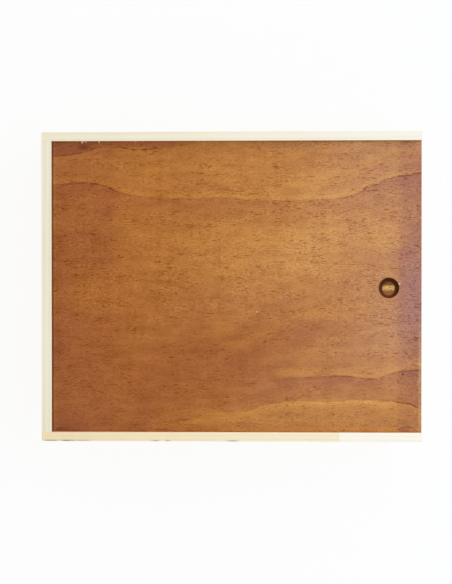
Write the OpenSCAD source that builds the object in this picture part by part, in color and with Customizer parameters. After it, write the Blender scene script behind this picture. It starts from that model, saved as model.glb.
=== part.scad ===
// Wooden wine box for three bottles lying side by side, with a sliding lid.
// X runs along the bottles, the way the lid slides; Y runs across them; Z is up.
// The origin is the centre of the footprint, on the face that the box stands on.

/* [Box] */
// Length of the box, along the way the lid slides
box_length = 350; // [320:1:400]
// Width of the box, across the bottles
box_width = 285; // [265:1:330]
// Height of the box with its base
box_height = 100; // [94:1:130]

/* [Walls and base] */
// Thickness of the two long walls
side_wall_t = 8.5; // [7:0.5:14]
// Thickness of the two end walls
end_wall_t = 9.5; // [8:0.5:14]
// Thickness of the plywood base
base_t = 4; // [3:0.5:8]
// Width of the bevel that takes the sharp edge off the boards
arris = 0.5; // [0.2:0.1:1]

/* [Lid] */
// Thickness of the plywood lid
lid_t = 5; // [4:0.5:7]
// Height of the lip left above the lid groove
lip_h = 4; // [2.5:0.5:8]
// Depth of the lid groove into the walls
groove_depth = 4; // [2.5:0.5:5]
// Play above and below the lid in its groove
lid_play = 0.3; // [0.1:0.05:0.6]
// Gap between the lid's edges and the bottom of the groove
lid_edge_gap = 0.5; // [0.2:0.1:1]

/* [Thumb recess] */
// Diameter of the thumb recess at the lid's face
recess_d = 18.8; // [14:0.2:30]
// Depth of the thumb recess
recess_depth = 3; // [2:0.1:3.5]
// Radius between the recess's wall and its floor
recess_cove_r = 2.7; // [1:0.1:2.9]
// Distance from the lid's open end to the middle of the recess
recess_from_end = 30; // [20:0.5:60]
// Distance of the recess from the lid's centre line
recess_off_centre = -1.2; // [-10:0.1:10]

/* [Dividers] */
// Thickness of the two dividers
divider_t = 4; // [3:0.5:6]
// Height of the dividers above the base
divider_h = 80; // [50:1:82]
// Depth of the housings that hold the dividers' ends
housing_depth = 3; // [2:0.5:5]
// Clearance on each side of a panel in its housing or slot
fit_gap = 0.15; // [0.05:0.05:0.4]

/* [Neck rest] */
// Thickness of the neck rest
rest_t = 6; // [4:0.5:10]
// Height of the neck rest above the base
rest_h = 44; // [42:1:46]
// Diameter of the bottle that the rest keeps level
bottle_d = 76; // [72:1:80]
// Width of the notch that a bottle's neck lies in
notch_w = 34; // [30:0.5:42]
// Distance from the open end wall to the middle of the neck rest
rest_from_end = 60; // [40:1:120]

/* [Nails] */
// Diameter of a nail's shank
nail_d = 1.4; // [1:0.1:2]
// Diameter of a nail's head
nail_head_d = 3; // [2.2:0.1:4]
// Thickness of a nail's head
nail_head_h = 0.6; // [0.4:0.1:1]
// Length of the nails at the corners
corner_nail_l = 25; // [16:1:30]
// Length of the nails in the base
base_nail_l = 20; // [12:1:26]
// Number of nails in each corner
corner_nail_count = 3; // [2:1:4]
// Number of nails along each long edge of the base
edge_nail_count = 5; // [3:1:7]
// Distance from a board's edge to its first nail
nail_margin = 14; // [8:1:20]

/* [Hidden] */
$fn = 48;

// How far a cutter runs past the face that it cuts
over = 1;

// Inside faces of the walls, as distances from the origin
inner_x = box_length / 2 - end_wall_t;
inner_y = box_width / 2 - side_wall_t;

// The lid groove, and the lid in it
groove_top = box_height - lip_h;
groove_floor = groove_top - lid_t - 2 * lid_play;
lid_z = groove_floor + lid_play;
lid_left = -inner_x - groove_depth + lid_edge_gap;
lid_right = box_length / 2;
lid_width = 2 * (inner_y + groove_depth - lid_edge_gap);
recess_x = lid_right - recess_from_end;

// The three bays, and the dividers between them
bay_w = (2 * inner_y - 2 * divider_t) / 3;
divider_pitch = bay_w + divider_t;
divider_y = divider_pitch / 2;
divider_l = 2 * (inner_x + housing_depth - fit_gap);

// The neck rest crosses the dividers in half laps, each cut half the height of the rest
rest_x = inner_x - rest_from_end;
rest_l = 2 * (inner_y - fit_gap);
lap_h = rest_h / 2;
neck_z = base_t + bottle_d / 2;

// Nail places
corner_nail_x = box_length / 2 - end_wall_t / 2;
corner_nail_zs = spread(base_t + nail_margin, groove_floor - nail_margin, corner_nail_count);
base_nail_y = box_width / 2 - side_wall_t / 2;
base_nail_xs = spread(-inner_x + nail_margin, inner_x - nail_margin, edge_nail_count);
end_nail_ys = [-divider_pitch, 0, divider_pitch];
nail_point_l = 2 * nail_d;
nail_tip_d = 0.2 * nail_d;

pine = [0.93, 0.88, 0.77];
front_pine = [0.94, 0.86, 0.70];
poplar_ply = [0.88, 0.78, 0.60];
stained_ply = [0.66, 0.41, 0.22];
bright_steel = [0.72, 0.72, 0.70];

// Evenly spaced values from a first to a last one
function spread(first, last, count) =
    [for (i = [0 : count - 1]) first + (last - first) * i / (count - 1)];

// Outline of a board seen on its end: t is measured in from its outer face, z up from the ground.
// Its two top edges are bevelled, and the groove is cut into its inner face.
function grooved_outline(t) = [
    [0, base_t], [0, box_height - arris], [arris, box_height],
    [t - arris, box_height], [t, box_height - arris], [t, groove_top],
    [t - groove_depth, groove_top], [t - groove_depth, groove_floor],
    [t, groove_floor], [t, base_t]
];

// A nail along -Z with the top of its head at the origin
module nail(length) {
    shank_l = length - nail_head_h - nail_point_l;
    rotate([180, 0, 0]) {
        cylinder(d = nail_head_d, h = nail_head_h);
        translate([0, 0, nail_head_h])
            cylinder(d = nail_d, h = shank_l);
        translate([0, 0, nail_head_h + shank_l])
            cylinder(d1 = nail_d, d2 = nail_tip_d, h = nail_point_l);
    }
}

// The corner nails of the back wall, driven in from its outer face
module corner_nail_set() {
    for (x = [-corner_nail_x, corner_nail_x], z = corner_nail_zs)
        translate([x, box_width / 2, z])
            rotate([-90, 0, 0])
                nail(corner_nail_l);
}

// All the nails of the base, driven up into the walls
module base_nail_set() {
    for (y = [-base_nail_y, base_nail_y], x = base_nail_xs)
        translate([x, y, 0])
            rotate([180, 0, 0])
                nail(base_nail_l);
    for (x = [-corner_nail_x, corner_nail_x], y = end_nail_ys)
        translate([x, y, 0])
            rotate([180, 0, 0])
                nail(base_nail_l);
}

// The holes that the nails fill, line to line
module nail_holes() {
    corner_nail_set();
    mirror([0, 1, 0]) corner_nail_set();
    base_nail_set();
}

// A long wall on the +Y side: full length, with the lid groove run right through
module long_wall() {
    difference() {
        translate([0, box_width / 2, 0])
            rotate([90, 0, 90])
                linear_extrude(height = box_length, center = true)
                    mirror([1, 0]) polygon(grooved_outline(side_wall_t));
        nail_holes();
    }
}

module back_wall() {
    color(pine) long_wall();
}

module front_wall() {
    color(front_pine) mirror([0, 1, 0]) long_wall();
}

// The housings in both end walls, stopped at the dividers' top edges
module divider_housings() {
    for (side = [-1, 1])
        translate([-inner_x - housing_depth, side * divider_y - divider_t / 2 - fit_gap, base_t - over])
            cube([2 * (inner_x + housing_depth), divider_t + 2 * fit_gap, divider_h + fit_gap + over]);
}

// The end wall that the lid closes against; it stands between the long walls
module closed_end_wall() {
    color(pine) difference() {
        translate([-box_length / 2, 0, 0])
            rotate([90, 0, 0])
                linear_extrude(height = 2 * inner_y, center = true)
                    polygon(grooved_outline(end_wall_t));
        divider_housings();
        nail_holes();
    }
}

// The end wall that the lid slides over; its top is level with the floor of the groove
module open_end_wall() {
    color(pine) difference() {
        translate([inner_x, -inner_y, base_t])
            cube([end_wall_t, 2 * inner_y, groove_floor - base_t]);
        divider_housings();
        nail_holes();
    }
}

module base_panel() {
    color(poplar_ply) difference() {
        translate([-box_length / 2, -box_width / 2, 0])
            cube([box_length, box_width, base_t]);
        nail_holes();
    }
}

// Half of the recess's section, r out from its axis and z up from the lid's face
function recess_outline() = concat(
    [[0, over], [0, -recess_depth]],
    [for (a = [-90 : 15 : 0])
        [recess_d / 2 - recess_cove_r + recess_cove_r * cos(a),
         -recess_depth + recess_cove_r + recess_cove_r * sin(a)]],
    [[recess_d / 2, over]]
);

// The lid's two ends are bevelled; its long edges stay square in the grooves
module sliding_lid() {
    lid_l = lid_right - lid_left;
    color(stained_ply) difference() {
        translate([lid_left, 0, lid_z])
            rotate([90, 0, 0])
                linear_extrude(height = lid_width, center = true)
                    polygon([
                        [arris, 0], [lid_l - arris, 0], [lid_l, arris], [lid_l, lid_t - arris],
                        [lid_l - arris, lid_t], [arris, lid_t], [0, lid_t - arris], [0, arris]
                    ]);
        translate([recess_x, recess_off_centre, lid_z + lid_t])
            rotate_extrude() polygon(recess_outline());
    }
}

// A divider from end wall to end wall, slotted from below over the neck rest
module divider() {
    color(poplar_ply) difference() {
        translate([-divider_l / 2, -divider_t / 2, base_t])
            cube([divider_l, divider_t, divider_h]);
        translate([rest_x - rest_t / 2 - fit_gap, -divider_t, base_t - over])
            cube([rest_t + 2 * fit_gap, 2 * divider_t, rest_h - lap_h + over]);
    }
}

module back_divider() {
    translate([0, divider_y, 0]) divider();
}

module front_divider() {
    translate([0, -divider_y, 0]) divider();
}

// One round-bottomed notch, open at the top, centred on y = 0
module neck_notch() {
    rotate([0, 90, 0])
        cylinder(d = notch_w, h = 2 * rest_t, center = true);
    translate([-rest_t, -notch_w / 2, 0])
        cube([2 * rest_t, notch_w, rest_h]);
}

// The cross rail that carries the three bottle necks, slotted from above for the dividers
module neck_rest() {
    color(poplar_ply) difference() {
        translate([rest_x - rest_t / 2, -rest_l / 2, base_t])
            cube([rest_t, rest_l, rest_h]);
        for (y = end_nail_ys)
            translate([rest_x, y, neck_z]) neck_notch();
        for (side = [-1, 1])
            translate([rest_x - rest_t, side * divider_y - divider_t / 2 - fit_gap, base_t + rest_h - lap_h])
                cube([2 * rest_t, divider_t + 2 * fit_gap, lap_h + over]);
    }
}

module back_wall_nails() {
    color(bright_steel) corner_nail_set();
}

module front_wall_nails() {
    color(bright_steel) mirror([0, 1, 0]) corner_nail_set();
}

module base_nails() {
    color(bright_steel) base_nail_set();
}

back_wall();
front_wall();
closed_end_wall();
open_end_wall();
base_panel();
sliding_lid();
back_divider();
front_divider();
neck_rest();
back_wall_nails();
front_wall_nails();
base_nails();
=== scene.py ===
"""Looks for a flat pine wine box whose lid, a sheet of stained plywood, slides out along grooves.

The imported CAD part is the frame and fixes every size. This script puts softened, finished boards in the
place of its plain solids and gives each a wood or metal worked out from real sizes. Everything is in metres,
in the CAD frame; a name that ends in _mm holds millimetres.
"""

from __future__ import annotations

import logging
import math
import random
from dataclasses import dataclass, replace
from enum import Enum
from typing import Any, Mapping, Optional, Sequence, Union

import bmesh
import bpy
from mathutils import Matrix, Vector


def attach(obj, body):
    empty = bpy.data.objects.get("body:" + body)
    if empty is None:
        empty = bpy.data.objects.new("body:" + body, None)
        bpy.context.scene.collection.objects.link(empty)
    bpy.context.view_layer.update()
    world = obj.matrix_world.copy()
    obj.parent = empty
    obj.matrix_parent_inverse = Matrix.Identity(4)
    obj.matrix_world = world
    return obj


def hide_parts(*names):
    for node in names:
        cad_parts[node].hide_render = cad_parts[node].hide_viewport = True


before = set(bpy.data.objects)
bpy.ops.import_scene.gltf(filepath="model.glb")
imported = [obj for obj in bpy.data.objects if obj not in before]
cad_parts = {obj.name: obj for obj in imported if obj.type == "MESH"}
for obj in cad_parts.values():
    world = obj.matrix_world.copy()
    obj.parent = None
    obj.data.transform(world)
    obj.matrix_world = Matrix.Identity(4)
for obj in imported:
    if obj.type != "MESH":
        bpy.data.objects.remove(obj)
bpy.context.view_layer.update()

LOG = logging.getLogger("wine_box")
MM = 0.001
# Nearly all of a noise lies between these two.
NOISE = (0.3, 0.7)
WHITE = (1.0, 1.0, 1.0)

Socket = bpy.types.NodeSocket
Input = Union[Socket, float, Sequence[float], str, None]
Point = tuple[float, float]
Curve = tuple[Point, ...]


class Axis(Enum):
    """One of the frame's directions."""

    X = 0
    Y = 1
    Z = 2


class Body(Enum):
    """The two bodies that MuJoCo moves."""

    BOX = "box"
    LID = "lid"


class Slot(Enum):
    """The record's material slots."""

    PALE_PINE = "pale_pine"
    WARM_PINE = "warm_pine"
    POPLAR_PLYWOOD = "poplar_plywood"
    STAINED_PLYWOOD = "stained_plywood"
    STEEL_NAIL = "steel_nail"


@dataclass(frozen=True)
class Lay:
    """How a board lies.

    Attributes:
        along: The way that its grain runs.
        across: The way of its width.
        through: The way of its thickness.
    """

    along: Axis
    across: Axis
    through: Axis


# A board lies flat, or stands on edge along X or along Y.
LAID_FLAT = Lay(Axis.X, Axis.Y, Axis.Z)
ON_EDGE_X = Lay(Axis.X, Axis.Z, Axis.Y)
ON_EDGE_Y = Lay(Axis.Y, Axis.Z, Axis.X)


def linear(hex_colour: str) -> tuple[float, float, float, float]:
    """Turns an sRGB colour to linear light.

    Args:
        hex_colour: Six hex digits.

    Returns:
        Red, green, blue and an alpha of 1.
    """
    toe_end, toe_slope, offset, power = 0.04045, 12.92, 0.055, 2.4
    shares = [int(hex_colour[i : i + 2], 16) / 255 for i in (0, 2, 4)]
    light = [s / toe_slope if s <= toe_end else ((s + offset) / (1 + offset)) ** power for s in shares]
    return (light[0], light[1], light[2], 1.0)


@dataclass(frozen=True)
class Surface:
    """What a pattern hands to the shader.

    Attributes:
        colour: Base colour.
        roughness: Roughness, 0 to 1.
        relief: Height of the surface, in units of relief_mm.
        relief_mm: Height that a relief of 1 stands for.
        gloss: Specular level; 0.5 mirrors as a closed coat of varnish does.
        metallic: 1 for bare metal, 0 for all else.
        ior: Index of refraction, or None to keep the shader's own.
    """

    colour: Socket
    roughness: Socket
    relief: Socket
    relief_mm: float
    gloss: Input = 0.5
    metallic: float = 0.0
    ior: Optional[float] = None


@dataclass(frozen=True)
class Graph:
    """The node tree of one finish, and the one way to add to it.

    Attributes:
        tree: The tree that the nodes go into.
    """

    tree: bpy.types.NodeTree

    def add(self, kind: str, inputs: Any = (), out: Union[int, str] = 0, **settings: Any) -> Socket:
        """Adds a node with its settings and its links.

        Args:
            kind: The node's type, without Blender's ShaderNode in front.
            inputs: Sockets to link and values to write, in order or by name; a text is a hex colour.
            out: The output that is wanted.
            **settings: Properties of the node; stops fills a colour ramp and points a float curve.

        Returns:
            The wanted output, or None from a node that has no output.
        """
        node = self.tree.nodes.new("ShaderNode" + kind)
        stops = settings.pop("stops", ())
        points = settings.pop("points", ())
        for name, value in settings.items():
            setattr(node, name, value)
        for i, (place, colour) in enumerate(stops):
            element = node.color_ramp.elements[i] if i < 2 else node.color_ramp.elements.new(place)
            element.position = place
            element.color = linear(colour)
        if points:
            curve = node.mapping.curves[0]
            for i, point in enumerate(points):
                knot = curve.points[i] if i < 2 else curve.points.new(*point)
                knot.location = point
                knot.handle_type = "AUTO_CLAMPED"
            node.mapping.update()
        for key, value in inputs.items() if isinstance(inputs, Mapping) else enumerate(inputs):
            if isinstance(value, bpy.types.NodeSocket):
                self.tree.links.new(value, node.inputs[key])
            elif value is not None:
                node.inputs[key].default_value = linear(value) if isinstance(value, str) else value
        return node.outputs[out] if node.outputs else None

    def turned(self, output: str, lay: Lay) -> Socket:
        """Turns the object's own coordinates to the board's.

        Args:
            output: Object for the place on the piece, or Normal for the way that its surface faces.
            lay: How the board lies.

        Returns:
            A vector along, across and through the board.
        """
        parts = self.add("SeparateXYZ", [self.add("TexCoord", out=output)]).node.outputs
        return self.add("CombineXYZ", [parts[axis.value] for axis in (lay.along, lay.across, lay.through)])

    def squareness(self, lay: Lay, way: int) -> Socket:
        """Tells how squarely the surface faces a way of the board: 0 along, 1 across or 2 through it."""
        part = self.add("SeparateXYZ", [self.turned("Normal", lay)], out=way)
        return self.add("Math", [part], operation="ABSOLUTE")

    def cells(self, place: Socket, size_mm: Sequence[float], seed: float, detail: float = 2.0) -> Socket:
        """Makes noise whose cells have a real size.

        Args:
            place: The place on the piece, in metres.
            size_mm: Size of a cell along, across and through the board.
            seed: Where in the noise the piece lies.
            detail: How many finer layers are added.

        Returns:
            A value about 0.5, nearly always within NOISE.
        """
        per_metre = tuple(1.0 / (s * MM) for s in size_mm)
        scaled = self.add("VectorMath", [place, per_metre, (seed, seed, seed)], operation="MULTIPLY_ADD")
        return self.add("TexNoise", {"Vector": scaled, "Scale": 1.0, "Detail": detail})

    def swing(self, noise: Socket, weight: float, onto: Input = 0.0, middle: float = 0.5) -> Socket:
        """Adds a noise's swing about its middle to a value.

        Args:
            noise: The noise.
            weight: What the swing is multiplied by.
            onto: The value.
            middle: The noise's middle.

        Returns:
            The sum.
        """
        centred = self.add("Math", [noise, middle], operation="SUBTRACT")
        return self.add("Math", [centred, weight, onto], operation="MULTIPLY_ADD")

    def from_oval(self, place: Socket, centre_mm: Point, half_mm: Point) -> Socket:
        """Measures how far out of an oval's middle a place lies.

        Args:
            place: The place on the piece, in metres.
            centre_mm: The oval's middle, along and across the board.
            half_mm: Half its length and width.

        Returns:
            0 in the middle and 1 on the outline.
        """
        middle = (centre_mm[0] * MM, centre_mm[1] * MM, 0.0)
        per_half = (1 / (half_mm[0] * MM), 1 / (half_mm[1] * MM), 0.0)
        off = self.add("VectorMath", [place, middle], operation="SUBTRACT")
        shares = self.add("VectorMath", [off, per_half], operation="MULTIPLY")
        return self.add("VectorMath", [shares], out="Value", operation="LENGTH")

    def follow(self, value: Socket, points_mm: Sequence[Point], scale: float = 1.0) -> Socket:
        """Draws a smooth line through points, held level past its ends.

        Args:
            value: Where on the line to read it, in metres.
            points_mm: Points of the line: the first number in millimetres, the second in units of scale.
            scale: Unit of the points' second number.

        Returns:
            The line's value there.
        """
        xs = [p[0] * MM for p in points_mm]
        ys = [p[1] * scale for p in points_mm]
        low, span = min(ys), (max(ys) - min(ys)) or 1.0
        knots = [((x - xs[0]) / (xs[-1] - xs[0]), (y - low) / span) for x, y in zip(xs, ys)]
        share = self.add("MapRange", [value, xs[0], xs[-1], 0.0, 1.0])
        # A new curve has two points, its ends, so these come first.
        level = self.add("FloatCurve", {"Value": share}, points=knots[:1] + knots[-1:] + knots[1:-1])
        return self.add("MapRange", [level, 0.0, 1.0, low, low + span])

    def shade(self, surface: Surface) -> None:
        """Ends the tree in a shader.

        Args:
            surface: The pattern that the shader takes.
        """
        bump = self.add("Bump", {"Distance": surface.relief_mm * MM, "Height": surface.relief})
        shader = self.add("BsdfPrincipled", {
            "Base Color": surface.colour,
            "Roughness": surface.roughness,
            "Metallic": surface.metallic,
            "IOR": surface.ior,
            "Specular IOR Level": surface.gloss,
            "Normal": bump,
        })
        self.add("OutputMaterial", {"Surface": shader})


def new_material(name: str) -> tuple[bpy.types.Material, Graph]:
    """Makes an empty material.

    Args:
        name: Name of the material.

    Returns:
        The material and its graph.
    """
    material = bpy.data.materials.new(name)
    material.use_nodes = True
    material.node_tree.nodes.clear()
    return material, Graph(material.node_tree)


class Finish:
    """How one board or fitting looks."""

    def surface(self, graph: Graph, lay: Lay) -> Surface:
        """Draws the pattern.

        Args:
            graph: Where the nodes go.
            lay: How the board lies.

        Returns:
            The pattern.
        """
        raise NotImplementedError

    def material(self, name: str, lay: Lay) -> bpy.types.Material:
        """Makes the material.

        Args:
            name: Name of the material.
            lay: How the board lies.

        Returns:
            The material.
        """
        material, graph = new_material(name)
        graph.shade(self.surface(graph, lay))
        return material


@dataclass(frozen=True)
class PlanedPine(Finish):
    """Bare pine, sawn along the log and planed.

    Wide bands of pale early wood end in narrow yellower late wood. The rings are drawn round a pith that
    lies outside the board, so faces get straight or arched lines and the ends get the arcs of the same
    rings. Planing leaves the wood matt with a slight silk; sawn ends drink light and look darker.

    Attributes:
        early_wood: Colour of the wide pale bands at the board's lower end.
        far_wood: Their colour at its other end; the colour changes evenly from one end to the other.
        late_wood: Colour of the narrow bands on a narrow edge.
        end_wood: Colour of the sawn ends.
        pith_mm: Where the middle of the log lies, across and through the board.
        contrast: Share of the late wood's colour that a ring takes.
        seed: Where in the noise the board lies.
        lip_face_mm: The inner face of the groove's lip: between two heights, nearer to the box's middle than
            the third number.
        rubbed: Colour painted there. On the back wall and the closed end it is a dark brown, partly stain
            rubbed off the lid and partly painted shade of the gap at the lid's edge; on the front wall it is
            a lighter brown.
        drift: How many metres the pith wanders across the board in a metre, which arches the lines.
        ring_mm: Distance between rings.
        warp_mm: How far slow waves bend the rings.
        half_run_mm: How far from the box's middle the colour's drift goes.
        broad_late_wood: Colour of the narrow bands on a broad face, where they come out wider and deeper.
        roughness: Roughness of a planed face.
        relief_mm: Height of the fibres.
        gloss: Specular level of the wood.
    """

    early_wood: str
    far_wood: str
    late_wood: str
    end_wood: str
    pith_mm: Point
    contrast: float = 0.5
    seed: float = 0.0
    lip_face_mm: Optional[tuple[float, float, float]] = None
    rubbed: str = "6B4A22"
    drift: float = 0.004
    ring_mm: float = 2.7
    warp_mm: float = 1.6
    half_run_mm: float = 175.0
    broad_late_wood: str = "DDC18D"
    roughness: float = 0.58
    relief_mm: float = 0.05
    gloss: float = 0.35

    def surface(self, graph: Graph, lay: Lay) -> Surface:
        """Draws the rings and fibres.

        Args:
            graph: Where the nodes go.
            lay: How the board lies.

        Returns:
            The pattern.
        """
        place = graph.turned("Object", lay)
        along, across, through = graph.add("SeparateXYZ", [place]).node.outputs
        axis = graph.add("Math", [along, self.drift, self.pith_mm[0] * MM], operation="MULTIPLY_ADD")
        from_axis = graph.add("Math", [across, axis], operation="SUBTRACT")
        depth = graph.add("Math", [through, self.pith_mm[1] * MM], operation="SUBTRACT")
        flat = graph.add("CombineXYZ", [0.0, from_axis, depth])
        radius = graph.add("VectorMath", [flat], out="Value", operation="LENGTH")
        # A trunk is never quite round: slow waves along the grain bend the rings a little.
        wave = graph.cells(place, (120.0, 14.0, 14.0), self.seed)
        bent = graph.add("Math", [wave, self.warp_mm * MM, radius], operation="MULTIPLY_ADD")
        rings = graph.add("Math", [bent, self.ring_mm * MM], operation="DIVIDE")
        ring = graph.add("Math", [rings], operation="FRACT")
        late = graph.add("MapRange", [ring, 0.4, 0.95, 0.0, self.contrast], interpolation_type="SMOOTHSTEP")
        # Real fibres are 0.03 mm wide; they are drawn 0.4 mm wide, so that they show.
        fibre = graph.cells(place, (16.0, 0.4, 0.4), self.seed + 3.0)
        cloud = graph.cells(place, (70.0, 18.0, 18.0), self.seed + 7.0)
        mixed = graph.swing(cloud, 0.8, graph.swing(fibre, 0.9, late))
        run = graph.add("MapRange", [along, -self.half_run_mm * MM, self.half_run_mm * MM, 0.0, 1.0])
        early = graph.add("Mix", {0: run, 6: self.early_wood, 7: self.far_wood}, out=2, data_type="RGBA")
        broad = graph.add("MapRange", [graph.squareness(lay, 2), 0.6, 0.9, 0.0, 1.0])
        band = graph.add("Mix", {0: broad, 6: self.late_wood, 7: self.broad_late_wood}, out=2,
                         data_type="RGBA")
        face = graph.add("Mix", {0: mixed, 6: early, 7: band}, out=2, data_type="RGBA")
        sawn = graph.add("MapRange", [graph.squareness(lay, 0), 0.6, 0.9, 0.0, 0.7],
                         interpolation_type="SMOOTHSTEP")
        colour = graph.add("Mix", {0: sawn, 6: face, 7: self.end_wood}, out=2, data_type="RGBA")
        # The lip's inner face takes the rubbed colour, which on the back wall and the closed end is partly
        # painted shade.
        if self.lip_face_mm:
            low, high, reach = (v * MM for v in self.lip_face_mm)
            over = graph.add("Math", [across, low], operation="GREATER_THAN")
            under = graph.add("MapRange", [across, high, high + 0.3 * MM, 0.95, 0.0])
            off = graph.add("Math", [through], operation="ABSOLUTE")
            inner = graph.add("Math", [off, reach], operation="LESS_THAN")
            between = graph.add("Math", [over, under], operation="MULTIPLY")
            on_lip_face = graph.add("Math", [between, inner], operation="MULTIPLY")
            colour = graph.add("Mix", {0: on_lip_face, 6: colour, 7: self.rubbed}, out=2, data_type="RGBA")
        roughness = graph.add("Math", [sawn, 0.25, self.roughness], operation="MULTIPLY_ADD")
        relief = graph.add("Math", [late, 0.6, fibre], operation="MULTIPLY_ADD")
        return Surface(colour, roughness, relief, self.relief_mm, self.gloss)


@dataclass(frozen=True)
class FingerJointedPine(Finish):
    """A board glued up end to end from two lengths of pine, with fingers cut in both.

    From the edge the joint is a straight change of colour; on the wide face it is a zigzag with a thin
    brown glue line. Both lengths are planed together, so nothing stands proud.

    Attributes:
        near: The length on the side of the lower coordinate.
        far: The other length.
        joint_mm: Where the joint crosses the board's top edge.
        top_mm: Height of that edge.
        arris_spots_mm: Dark brown spots on the top's outer edge: middle, half length and share of their
        colour.
        edge_mm: How far out that edge lies.
        finger_mm: Length of a finger.
        pitch_mm: Distance from finger to finger.
        blur_mm: Half the width over which the colour changes.
        glue: Colour of the glue line.
        glue_mm: Half its width.
        dirt: Colour of those spots.
    """

    near: PlanedPine
    far: PlanedPine
    joint_mm: float
    top_mm: float
    arris_spots_mm: tuple[tuple[float, float, float], ...]
    edge_mm: float
    finger_mm: float = 9.0
    pitch_mm: float = 7.6
    blur_mm: float = 0.1
    glue: str = "B98F5A"
    glue_mm: float = 0.22
    dirt: str = "6E5C3C"

    def surface(self, graph: Graph, lay: Lay) -> Surface:
        """Draws both lengths, the joint and the dents.

        Args:
            graph: Where the nodes go.
            lay: How the board lies.

        Returns:
            The pattern.
        """
        near = self.near.surface(graph, lay)
        far = self.far.surface(graph, lay)
        place = graph.turned("Object", lay)
        along, across, through = graph.add("SeparateXYZ", [place]).node.outputs
        down = graph.add("Math", [across, self.top_mm * MM], operation="SUBTRACT")
        rise = graph.add("Math", [down, self.pitch_mm * MM / 2], operation="PINGPONG")
        slope = 2 * self.finger_mm / self.pitch_mm
        edge = graph.add("Math", [rise, slope, self.joint_mm * MM], operation="MULTIPLY_ADD")
        past = graph.add("Math", [along, edge], operation="SUBTRACT")
        side = graph.add("MapRange", [past, -self.blur_mm * MM, self.blur_mm * MM, 0.0, 1.0])
        joined = graph.add("Mix", {0: side, 6: near.colour, 7: far.colour}, out=2, data_type="RGBA")
        apart = graph.add("Math", [past], operation="ABSOLUTE")
        glued = graph.add("MapRange", [apart, 0.0, self.glue_mm * MM, 0.45, 0.0])
        colour = graph.add("Mix", {0: glued, 6: joined, 7: self.glue}, out=2, data_type="RGBA")
        # Dark brown spots, broken up by noise, along the top's outer edge.
        spot_noise = graph.cells(place, (5.0, 0.9, 0.9), 71.0, detail=3.0)
        spot_level = graph.add("Math", [spot_noise, 1.9, -0.2], operation="MULTIPLY_ADD", use_clamp=True)
        out = graph.add("Math", [through, self.edge_mm * MM], operation="SUBTRACT")
        at_edge = graph.add("MapRange", [out, 0.4 * MM, 1.6 * MM, 1.0, 0.0])
        at_top = graph.add("MapRange", [down, -1.6 * MM, -0.5 * MM, 0.0, 1.0])
        at_arris = graph.add("Math", [at_edge, at_top], operation="MULTIPLY")
        spot_field = graph.add("Math", [at_arris, spot_level], operation="MULTIPLY")
        for middle_mm, half_mm, spot_share in self.arris_spots_mm:
            from_middle = graph.add("Math", [along, middle_mm * MM], operation="SUBTRACT")
            off = graph.add("Math", [from_middle], operation="ABSOLUTE")
            near_middle = graph.add("MapRange", [off, 0.4 * half_mm * MM, half_mm * MM, spot_share, 0.0])
            spotted_here = graph.add("Math", [near_middle, spot_field], operation="MULTIPLY")
            colour = graph.add("Mix", {0: spotted_here, 6: colour, 7: self.dirt}, out=2, data_type="RGBA")
        relief = graph.add("Mix", {0: side, 2: near.relief, 3: far.relief})
        return Surface(colour, near.roughness, relief, near.relief_mm, near.gloss)


@dataclass(frozen=True)
class PlyEdge:
    """The edge of a sheet of plywood: thin veneers, every second one cut across its grain.

    Attributes:
        lowest_mm: Where the sheet's first face lies, through the sheet.
        thickness_mm: Thickness of the sheet.
        plies: Number of veneers.
        long_wood: Colour of a veneer cut along its grain.
        cross_wood: Colour of one cut across it, which shows darker end grain.
        glue_share: Share of a veneer that its glue line takes.
    """

    lowest_mm: float
    thickness_mm: float
    plies: int
    long_wood: str = "E2CFA5"
    cross_wood: str = "C9AE7E"
    glue_share: float = 0.12

    def colour(self, graph: Graph, through: Socket, speckle: Socket) -> Socket:
        """Draws the veneers.

        Args:
            graph: Where the nodes go.
            through: The place through the sheet.
            speckle: Fine noise that breaks up the veneers' colours.

        Returns:
            The edge's colour.
        """
        per_ply = self.plies / (self.thickness_mm * MM)
        offset = -self.lowest_mm * MM * per_ply
        level = graph.add("Math", [through, per_ply, offset], operation="MULTIPLY_ADD")
        ply = graph.add("Math", [level], operation="FLOOR")
        odd = graph.add("Math", [ply, 2.0], operation="FLOORED_MODULO")
        near_glue = graph.add("Math", [level, 0.5], operation="PINGPONG")
        glue = graph.add("MapRange", [near_glue, 0.0, self.glue_share, 0.5, 0.0])
        rough = graph.add("Math", [speckle, 0.5, glue], operation="MULTIPLY_ADD")
        dark = graph.add("Math", [odd, 0.8, rough], operation="MULTIPLY_ADD", use_clamp=True)
        return graph.add("Mix", {0: dark, 6: self.long_wood, 7: self.cross_wood}, out=2, data_type="RGBA")


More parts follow.
